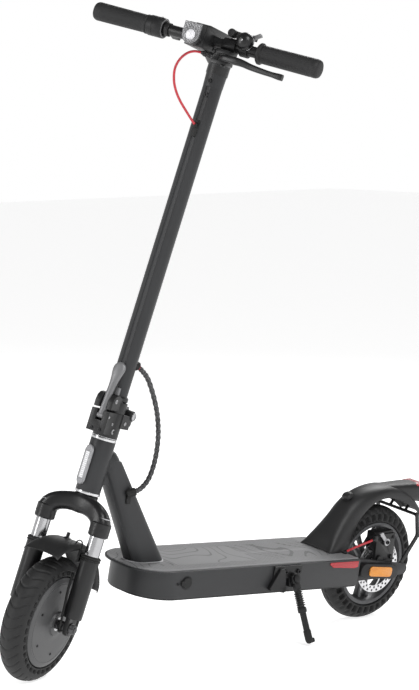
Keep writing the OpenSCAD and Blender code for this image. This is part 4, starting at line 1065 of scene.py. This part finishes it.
motor_lead.rod((4, 46, -10), (9, 48, -6), 4.4, 0.8)
motor_lead.done("motor_lead", rubber, "fork_lower")

# ---- Sprung fork ---------------------------------------------------------------------
# A glossy black arched crown clamps two chromed tubes. They slide in dark painted lower
# legs with rubber dust seals, and the lowers carry the front mudguard.

gloss_black = coating("gloss_black_paint", (0.005, 0.005, 0.0055), 0.34, 500, 0.02, 0.06,
                      {"Specular IOR Level": 0.4})
crown = Piece(steering)
arch = [(24.7, -62, 198), (24.7, -61, 209), (24.2, -55, 220), (22, -44, 228), (18, -30, 233),
        (14.5, -14, 236), (13.5, 0, 236.6), (14.5, 14, 236), (18, 30, 233), (22, 44, 228),
        (24.2, 55, 220), (24.7, 61, 209), (24.7, 62, 198)]
across = Matrix(((0, 0, 1, 0), (1, 0, 0, 0), (0, 1, 0, 0), (0, 0, 0, 1)))
crown.swept(smooth_line(arch, 4), rounded(2, 2, 0.75, 6),
            [tuple(v[:2]) for v in smooth_line(
                [(19, 19, 0), (19, 18, 0), (18.5, 16, 0), (18, 14.5, 0), (18, 14, 0),
                 (19, 14, 0), (20, 14, 0), (19, 14, 0), (18, 14, 0), (18, 14.5, 0),
                 (18.5, 16, 0), (19, 18, 0), (19, 19, 0)], 4)], up=(1, 0, 0))
crown.rod((0, 0, 223.5), (0, 0, 256), 23.8, 2.2, 48)
for side in (1, -1):
    crown.rod((24.7, side * 62, 186.6), (24.7, side * 62, 216), 20.4, 2.4, 56)
    crown.turned([(0, 229.5), (9, 229.5), (13, 227.6), (15, 224), (15.5, 214)],
                 Matrix.Translation((24.7, side * 62, 0)), 40)
crown.done("fork_crown_arch", gloss_black, "steerer", ["fork_crown"], 40)

chrome = finish("chrome_tube", steel_skin((0.42, 0.42, 0.43), 0.13,
                                          steering.to_3x3() @ Vector((0, 0, 1)), 2600, 0.0),
                {"Metallic": 1.0})
tubes = Piece(steering)
for side in (1, -1):
    tubes.rod((24.7, side * 62, 72), (24.7, side * 62, 226), 15, 0.6, 64)
tubes.done("chrome_tubes", chrome, "steerer", ["stanchions"], 40)
lower_coat = coating("fork_lower_paint", (0.009, 0.009, 0.0095), 0.36, 900, 0.05, 0.15,
                     {"Specular IOR Level": 0.35})
legs = Piece(steering)
for side in (1, -1):
    at = Matrix.Translation((24.7, side * 62, 0))
    legs.turned([(15.6, 70), (15.6, 137), (18.7, 137), (18.9, 131), (19, 40), (18.8, 22.5),
                 (17.5, 20.6), (0, 20.6), (0, 44), (15, 44), (15.6, 70)], at, 64)
    legs.slab([(8, 20), (-8, 20), (-15, 30), (-15, -6), (-10, -13), (0, -16), (10, -13),
               (15, -6), (15, 30)], side * 62 - 5.8, side * 62 + 3.8,
              Matrix(((1, 0, 0, 24.7), (0, 0, 1, 0), (0, 1, 0, 0), (0, 0, 0, 1))), soft=1.2)
legs.done("fork_lower_legs", lower_coat, "fork_lower", ["fork_lowers"], 40)
seals = Piece(steering)
for side in (1, -1):
    seals.turned([(15.1, 137.4), (18.6, 137.4), (19.8, 138), (20.4, 139.4), (19.9, 140.8),
                  (19, 141.4), (19, 142.6), (20.3, 143), (20.4, 145), (18.6, 146.4),
                  (17, 147.6), (15.1, 148)], Matrix.Translation((24.7, side * 62, 0)), 64,
                 loop=True)
seals.done("fork_dust_seals", rubber, "fork_lower", sharp=40)

front_guard = Piece(steering)
hub_o, rise = 24.7, 8
fan = []
for k in range(31):
    lean = -36.0 + k * 103 / 30
    t = math.radians(lean)
    half = 37 + 3 * max(0, (-lean - 16) / 20) - 0.5 * max(0, lean - 60)
    rows_k = []
    for j in range(13):
        s = -1 + j / 6
        reach = math.sin(s * math.pi / 2) * half
        fold = min(1, max(0.55, (lean + 34) / 18))
        drop = (11.5 * max(0, abs(s) - 0.42) ** 1.8 / 0.375 + 2.2 * s * s) * fold
        point = 0.03 * (abs(s) - 0.5) * max(0, (-lean - 14) / 22)
        r = 156 - drop
        a = t - point
        rows_k.append(front_guard.shape.verts.new((hub_o - r * math.sin(a), reach,
                                           rise + r * math.cos(a))))
    fan.append(rows_k)
skin(front_guard, fan)
shell(front_guard, "front_mudguard", guard_plastic, "fork_lower", ["front_fender"],
      2.6, 1)
brackets = Piece(steering)
for side in (1, -1):
    brackets.box((16, side * 38.5 - 3, 128), (33, side * 38.5 + 3, 153), 1.5)
    brackets.box((18.7, min(side * 36, side * 41.3), 130), (30.7, max(side * 36, side * 41.3), 150), 1.5)
brackets.rod((24.7, 0, 160), (24.7, 0, 176), 3.6, 1.2)
brackets.turned([(0, 0), (9, 0), (8, 2.4), (4, 4.4), (0, 4.6)], Matrix.Translation((24.7, 0, 162.5)))
brackets.swept(smooth_line([(34, 26, 160), (36, 29, 167), (34, 34, 170), (30, 38, 165),
                            (28, 38, 152)], 4), circle(1.3, 10))
brackets.done("mudguard_brackets", black_coat, "fork_lower")

# ---- Folding block -------------------------------------------------------------------
# Two cast aluminium halves hinged at the back. The grey lever in front swings over centre
# and draws them shut; a small catch beside it keeps the lever from opening by itself.

cast_black = coating("cast_block_paint", (0.01, 0.01, 0.0105), 0.4, 900, 0.12, 0.3,
                     {"Specular IOR Level": 0.35})
eased("fold_base", 2.4, cast_black, "steerer")
eased("stem_collar", 2.0, cast_black, "stem")
pin_steel = finish("zinc_pin_steel", steel_skin((0.4, 0.4, 0.41), 0.28,
                                                steering.to_3x3() @ Vector((0, 1, 0))),
                   {"Metallic": 1.0})
eased("fold_pins", 0.9, pin_steel, "steerer")
cheeks = Piece(steering)
front_cheek = Matrix(((1, 0, 0, 0), (0, 0, 1, 0), (0, 1, 0, 0), (0, 0, 0, 1)))
for side in (1, -1):
    low, high = sorted((side * 8.6, side * 20))
    cheeks.slab([(4, 428.5), (47, 428.5), (47.5, 440), (44, 452), (37, 458), (26, 460), (4, 452)],
                low, high, front_cheek, soft=2.4)
cheeks.rod((-38, -13.4, 425.4), (-38, 13.4, 425.4), 12.4, 1.4)
cheeks.rod((0, 0, 447), (0, 0, 459), 23.4, 3, 56, 19.7)
cheeks.done("collar_cheeks", cast_black, "stem")
fitted("collar_screw", steering, [((36, 20, 447), (0, 1, 0), (4.4, 4.4, 2))], hex_socket,
       pin_steel, "stem")
clamp_ring = Piece(steering)
clamp_ring.rod((0, 0, 372.6), (0, 0, 374.8), 25.6, 0.8, 64)
clamp_ring.done("clamp_ring", bright_steel, "steerer")
fitted("block_screws", steering,
       [((14, 20, 388), (0, 1, 0), (5.2, 5.2, 2.4)), ((24, 20, 402), (0, 1, 0), (3, 3, 1.4)),
        ((6, 20, 400), (0, 1, 0), (2.6, 2.6, 1.2)), ((-14, 27, 408), (0, 1, 0), (4, 4, 1.8)),
        ((14, -20, 388), (0, -1, 0), (5.2, 5.2, 2.4))],
       hex_socket, pin_steel, "steerer")
fitted("block_face_screws", steering,
       [((49, y, 386), (1, 0, 0), (3.6, 3.6, 1.6)) for y in (9, -9)],
       hex_socket, screw_black, "steerer")
lever_grey = coating("lever_cast_grey", (0.17, 0.17, 0.175), 0.42, 800, 0.08, 0.2,
                     {"Metallic": 0.4})
lever = Piece(steering)
lever.swept(smooth_line([(43, 0, 414), (40.5, 0, 432), (37, 0, 455), (33, 0, 474),
                         (29.6, 0, 490), (27, 0, 502), (24.6, 0, 511), (22.9, 0, 518.5),
                         (22.3, 0, 522.6)], 3),
            rounded(2, 2, 0.9, 6),
            [tuple(v[:2]) for v in smooth_line([(6.6, 5.6, 0), (7, 5.2, 0), (7.2, 4.8, 0),
                                                (7.6, 4.6, 0), (9.6, 5, 0), (12.2, 5.4, 0),
                                                (13, 5.2, 0), (10, 4.6, 0), (4, 3, 0)], 3)],
            up=(1, 0, 0))
lever.rod((43, -6.7, 414), (43, 6.7, 414), 6, 1.0)
lever.done("folding_lever_cast", lever_grey, "folding_lever", ["fold_lever"], 40)
eased("safety_catch", 1.4, lever_grey, "stem_catch")

# ---- Wiring loop ---------------------------------------------------------------------
# Motor and throttle leads in a black spiral wrap, from a boss on the stem's back to the
# gland on the down tube.

loop_way = [(714.5, 5, 618), (705, 11, 609), (688, 11, 591), (669, 8, 560), (653, 5, 527),
            (642, 2, 496), (637, 1, 466), (641, 5, 436), (653, 13, 410), (673, 24, 388),
            (698, 33, 375), (714, 32, 369), (721.4, 28.1, 366)]


def wrap_skin(here):
    fleck = here.node("ShaderNodeTexVoronoi", {}, {"Vector": here, "Scale": 260.0,
                                                   "Randomness": 0.8})
    weave = here.grain(420, 2)
    light = (weave > 0.56) * (1 - fleck * 0.6)
    return {"Base Color": light.mix((0.014, 0.014, 0.015), (0.13, 0.13, 0.135)),
            "Roughness": weave * 0.3 + 0.32, "Normal": here.bump(fleck, 0.4)}


wrap = finish("spiral_wrap", wrap_skin, {})
spine = smooth_line(loop_way, 14)
middle = spine.index(min(spine, key=lambda p: (Vector(p) - Vector((653, 5, 527))).length))
for name, run, ends in (("wiring_loop_upper", spine[:middle + 1], ("stem", "steerer")),
                        ("wiring_loop_lower", spine[middle:], ("steerer", "frame"))):
    loop = Piece(chassis)
    sizes = [(0.91 + 0.09 * math.cos(1.1 * k),) * 2 for k in range(len(run))]
    loop.swept(run, circle(5.5, 16), sizes, up=(0, 1, 0.2))
    made = loop.done(name, wrap, None, ["wiring_loop"], 60)
    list(ends)
    chassis @ Vector(run[6])
    chassis @ Vector(run[-7])
    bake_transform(made)

# ---- Stem tube -----------------------------------------------------------------------
# Long aluminium tube, satin black, with a shallow groove down its front. Two screws and a
# rubber grommet for the red brake cable sit in the groove.

stem = Piece(steering)
groove = [(19.5 * math.cos(t), 19.5 * math.sin(t))
          for k in range(61) for t in (math.radians(15 + 330 * k / 60),)]
groove += [(17.6, -4.2), (16.6, -3.4), (16.4, 0), (16.6, 3.4), (17.6, 4.2)]
stem.slab(groove, 430.4, 1128, soft=0)
stem.done("stem_tube_grooved", frame_coat, "stem", ["stem_tube"], 30)
neck_flare = Piece(steering)
neck_flare.turned([(19.6, 1086), (19.9, 1088), (20.4, 1104), (21.4, 1122), (23, 1138),
                   (24.5, 1146), (0, 1146)], steps=64)
neck_flare.done("stem_neck", frame_coat, "stem", sharp=40)
fitted("stem_screws", steering, [((19.8, 0, 1096), (1, 0, 0), (4.6, 4.6, 2.6)),
                                 ((16.6, 0, 1068), (1, 0, 0), (4.6, 4.6, 3.6))],
       hex_socket, screw_black, "stem")
front_wall = Matrix(((0, 0, 1, 0), (1, 0, 0, 0), (0, 1, 0, 1000), (0, 0, 0, 1)))
grommet = Piece(steering)
grommet.slab(rounded(12, 34, 6), 15, 20.8, front_wall, soft=1.2)
grommet.rod((18, 0, 1003.4), (27, -0.8, 1008.2), 4.6, 1.2)
grommet.done("cable_grommet", rubber, "stem")
boss = Piece(chassis)
boss.rod((723, 4, 622.6), (712, 6.2, 616.2), 9, 1.6)
boss.box((716, -2, 622), (726, 9, 640), 2.5)
boss.done("wiring_boss", rubber, "stem")
plug = Piece(chassis)
plug.rod((713.4, 5.9, 617), (710.4, 6.6, 615.4), 6.6, 0.8)
plug.done("wiring_plug", red_sheath, "stem")

# ---- Bar head ------------------------------------------------------------------------
# Cast block that joins the stem and the handlebar, with a glossy display set in its top.

eased("bar_head", 3.4, cast_black, "stem")
eased("display_panel", 1.0, gloss_black, "stem")
key_red = coating("power_key_red", (0.35, 0.012, 0.012), 0.35, 600, 0.05, 0.2,
                  {"Coat Weight": 0.5})
eased("power_button", 0.9, key_red, "power_key")
fitted("head_screws", steering,
       [((60 + 22 * k, side * 19, 1151), (0, side, 0), (3.4, 3.4, 1.8))
        for k in range(2) for side in (1, -1)], hex_socket, screw_black, "stem")

# ---- Headlight -----------------------------------------------------------------------
# Black housing with a silvered faceplate that is round at the bottom. The bright lens sits
# low in it inside stepped rings.

plate = [(-18.6, 1184.6), (-18.6, 1163)]
plate += [(18.6 * math.cos(t), 1162.6 + 18.6 * math.sin(t))
          for k in range(17) for t in (math.radians(180 + 180 * k / 16),)]
plate += [(18.6, 1163), (18.6, 1184.6)]
housing = Piece(steering)
housing.slab(plate, 134.1, 151.5, across, soft=1.2)
housing.done("headlight_housing", black_plastic, "stem", ["headlight"])
lamp_silver = finish("silvered_plastic", prism_skin((0.26, 0.26, 0.265), (0.07, 0.07, 0.075), 420),
                     {"Metallic": 0.3, "Coat Weight": 0.4, "Coat Roughness": 0.15})
lamp_face = Piece(steering)
lamp_face.slab([(y * 0.985, 1164.5 + (s - 1164.5) * 0.985) for y, s in plate], 151.6, 156.4, across,
               soft=1.4)
to_front = Matrix(((0, 0, 1, 0), (1, 0, 0, 0), (0, 1, 0, 1160), (0, 0, 0, 1)))
for ring_r in (10.6, 13.2, 15.8):
    lamp_face.turned([(ring_r, 156), (ring_r + 0.4, 157), (ring_r + 1.1, 157), (ring_r + 1.5, 156)],
                     to_front, 64, loop=True)
lamp_face.done("headlight_face", lamp_silver, "stem", sharp=40)


def lens_glow(here):
    cells = here.node("ShaderNodeTexVoronoi", {}, {"Vector": here, "Scale": 420.0})
    return {"Base Color": cells.mix((0.85, 0.85, 0.87), (0.4, 0.4, 0.42)),
            "Roughness": cells * 0.2 + 0.08, "Normal": here.bump(cells, 0.4)}


lens_clear = finish("headlight_lens_clear", lens_glow,
                    {"Coat Weight": 0.6, "Coat Roughness": 0.05})
front_lens = Piece(steering)
front_lens.turned([(10.2, 154), (10.2, 156.2), (9.4, 157.4), (6, 158.4), (3, 158.8), (0, 158.9)],
                  to_front, 64)
front_lens.done("headlight_lens_dome", lens_clear, "stem", ["headlight_lens"], 40)

# ---- Handlebar and grips -------------------------------------------------------------
# Straight black steel bar. The grips are soft rubber with fine ribs round them, a rounded
# outer end and, on the left, a flared collar.

eased("handlebar", 0.4, black_coat, "stem")
grip_rubber = coating("grip_rubber", (0.011, 0.011, 0.0115), 0.6, 1200, 0.14, 0.3,
                      {"Specular IOR Level": 0.35})
grips = Piece(steering)
for side, start, collar in ((1, 118, 2.5), (-1, 128, 0.5)):
    profile = [(11.1, start), (17 + collar, start), (18.5 + collar, start + 1.5),
               (18.5 + collar, start + 4.5), (17.2, start + 7.5)]
    at = start + 10
    while at < 232:
        swell = 17.2 + 0.7 * (at - 118) / 118
        profile += [(swell, at), (swell + 0.55, at + 0.7), (swell + 0.55, at + 1.5),
                    (swell, at + 2.2)]
        at += 2.9
    profile += [(18.4, 236), (18.5, 240), (18.2, 244), (16.6, 247.6), (13, 249.4), (7, 249.8),
                (0, 249.8)]
    way = Matrix(((0, 1, 0, 87), (0, 0, side, 0), (side, 0, 0, 1165), (0, 0, 0, 1)))
    grips.turned(profile, way, 56)
grips.done("ribbed_grips", grip_rubber, "stem", ["grips"], 50)

# ---- Throttle ------------------------------------------------------------------------
# Round plastic housing at the right grip's inner end, with a thumb paddle beside it.

throttle = Piece(steering)
way = Matrix(((0, 1, 0, 87), (0, 0, -1, 0), (-1, 0, 0, 1165), (0, 0, 0, 1)))
throttle.turned([(13.4, 92.6), (16, 92.2), (19, 92.4), (20, 93.6), (20, 112), (19.4, 112.4),
                 (19.4, 113.4), (20, 113.8), (20, 124), (18.6, 127.4), (11.1, 127.4), (11.1, 95),
                 (13.4, 94)], way, 64, loop=True)
throttle.done("throttle_body", black_plastic, "stem", ["throttle_housing"], 40)
ring = Piece(steering)
ring.turned([(15.6, 92.4), (16, 91.8), (18.6, 92), (19, 92.8)], way, 64, loop=True)
ring.rod((87, -104, 1184), (87, -104, 1186), 2.4, 0.5)
ring.done("throttle_ring", lever_grey, "stem", sharp=40)
paddle = Piece(steering)
paddle.turned([(11.1, 80), (13, 80), (13.4, 80.6), (13.4, 90), (13, 90.6), (11.1, 90.6)], way, 48,
              loop=True)
paddle.box((-40, -90.4, -2.6), (-12, -73, 3), 2.2,
           Matrix.Translation((87, 0, 1165)) @ Matrix.Rotation(math.radians(-14), 4, "Y"))
paddle.done("throttle_thumb_paddle", black_plastic, "thumb_throttle",
            ["throttle_paddle"])

# ---- Bell ----------------------------------------------------------------------------
# Glossy black dome with a chromed rim on a plastic clamp. A sprung hammer beside it is
# flicked with the thumb.

bell_clamp = Piece(steering)
bar_way = Matrix(((0, 1, 0, 87), (0, 0, 1, 0), (1, 0, 0, 1165), (0, 0, 0, 1)))
bell_clamp.turned([(11.1, 80), (14.6, 80), (15, 80.6), (15, 95.4), (14.6, 96), (11.1, 96)],
                  bar_way, 48, loop=True)
bell_clamp.box((81, 62, 1183.5), (97, 88, 1194.5), 3)
bell_clamp.box((81, 80, 1173), (97, 94, 1194.5), 3)
bell_clamp.box((79.2, 88, 1185.2), (82.8, 102.4, 1194.8), 1.4)
bell_clamp.rod((82, 98.6, 1191), (94, 98.6, 1191), 2, 0.4)
bell_clamp.turned([(0, 0), (8, 0), (8, 18.4), (6.8, 20), (4.4, 20), (3.8, 18.6), (0, 18.6)],
                  Matrix.Translation((83, 55, 1189)) @ Matrix.Rotation(math.radians(90), 4, "Y"), 40)
bell_clamp.done("bell_holder", black_plastic, "stem", ["bell"], 40)
bell_way = Matrix.Translation((96, 88, 1179)) @ Matrix.Rotation(math.radians(90), 4, "Y")
dome = Piece(steering)
dome.turned([(0, 1.4), (17.2, 1.4), (17.6, 5), (17, 9.4), (15.2, 13.6), (12.2, 17),
             (8.2, 19.2), (4, 20.2), (0, 20.4)], bell_way, 64)
dome.done("bell_dome", gloss_black, "stem", sharp=40)
rim_ring = Piece(steering)
rim_ring.turned([(16.6, 0.9), (17.5, 0.9), (18, 1.7), (18, 3.3), (17.5, 4.2), (17, 4.4)],
                bell_way, 64, loop=True)
rim_ring.turned([(0, 20.2), (2.2, 20.2), (2.2, 21.2), (1.4, 21.8), (0, 22)], bell_way, 32)
rim_ring.done("bell_rim", chrome, "stem", sharp=40)
eased("bell_striker", 1.0, lever_grey, "bell_hammer")

# ---- Brake lever and its cable -------------------------------------------------------
# Black forged lever in a clamped perch with a knurled barrel adjuster. The red cable leaves
# the adjuster, loops out in front and goes into the stem.

eased("brake_perch", 1.6, black_coat, "stem")
barrel = Piece(steering)
knurl = [((6.2 if k % 2 else 5.5) * math.cos(math.pi * k / 14),
          (6.2 if k % 2 else 5.5) * math.sin(math.pi * k / 14)) for k in range(28)]
for first, last in ((14, 20), (24, 29)):
    barrel.slab(knurl, first, last, Matrix(((1, 0, 0, 105), (0, 0, 1, 0), (0, 1, 0, 1137),
                                            (0, 0, 0, 1))), soft=0.5)
barrel.rod((105, 8, 1137), (105, 44, 1137), 3.6, 0.6)
barrel.rod((106, 60, 1121), (106, 60, 1124.5), 4.4, 0.8)
barrel.rod((106, 60, 1145), (106, 60, 1153), 5, 1.0)
barrel.done("barrel_adjuster", screw_black, "stem", sharp=40)
forged = coating("forged_lever_black", (0.009, 0.009, 0.0095), 0.34, 700, 0.05, 0.3,
                 {"Specular IOR Level": 0.35})
blade = Piece(steering)
spots = [(105.5, 53, 1137), (106, 60, 1137), (108, 74, 1137), (111, 90, 1137),
         (112.5, 104, 1136), (113.4, 120, 1133.4), (115, 145, 1131), (116.4, 170, 1129.6),
         (117, 186, 1129), (117, 193.6, 1128.8)]
thick = [(7.6, 5.8), (10.6, 7.2), (10.6, 7.4), (8.8, 7.4), (6.4, 6.8), (5, 6.2), (4.8, 5.6), (4.8, 5.2),
         (5, 6.2), (4.6, 6)]
blade.swept(smooth_line(spots, 3), rounded(2, 2, 0.7, 5),
            [tuple(v[:2]) for v in smooth_line([(*t, 0) for t in thick], 3)])
blade.done("brake_lever_blade", forged, "front_brake_lever", ["brake_lever"], 40)
cable_way = [(105, 11, 1137), (107, -5, 1136), (109.5, -18, 1129), (111, -29, 1114),
             (110, -34, 1094), (103, -32, 1072), (91, -27, 1054), (76, -20, 1039),
             (57, -11.5, 1025), (40, -5, 1014), (21, 0, 1004.5)]
red_cable = Piece(steering)
red_cable.swept(smooth_line(cable_way, 8), circle(2.5, 16), up=(1, 0.2, 0))
red_cable.done("front_brake_cable_sheath", red_sheath, "stem", ["brake_cable"], 60)
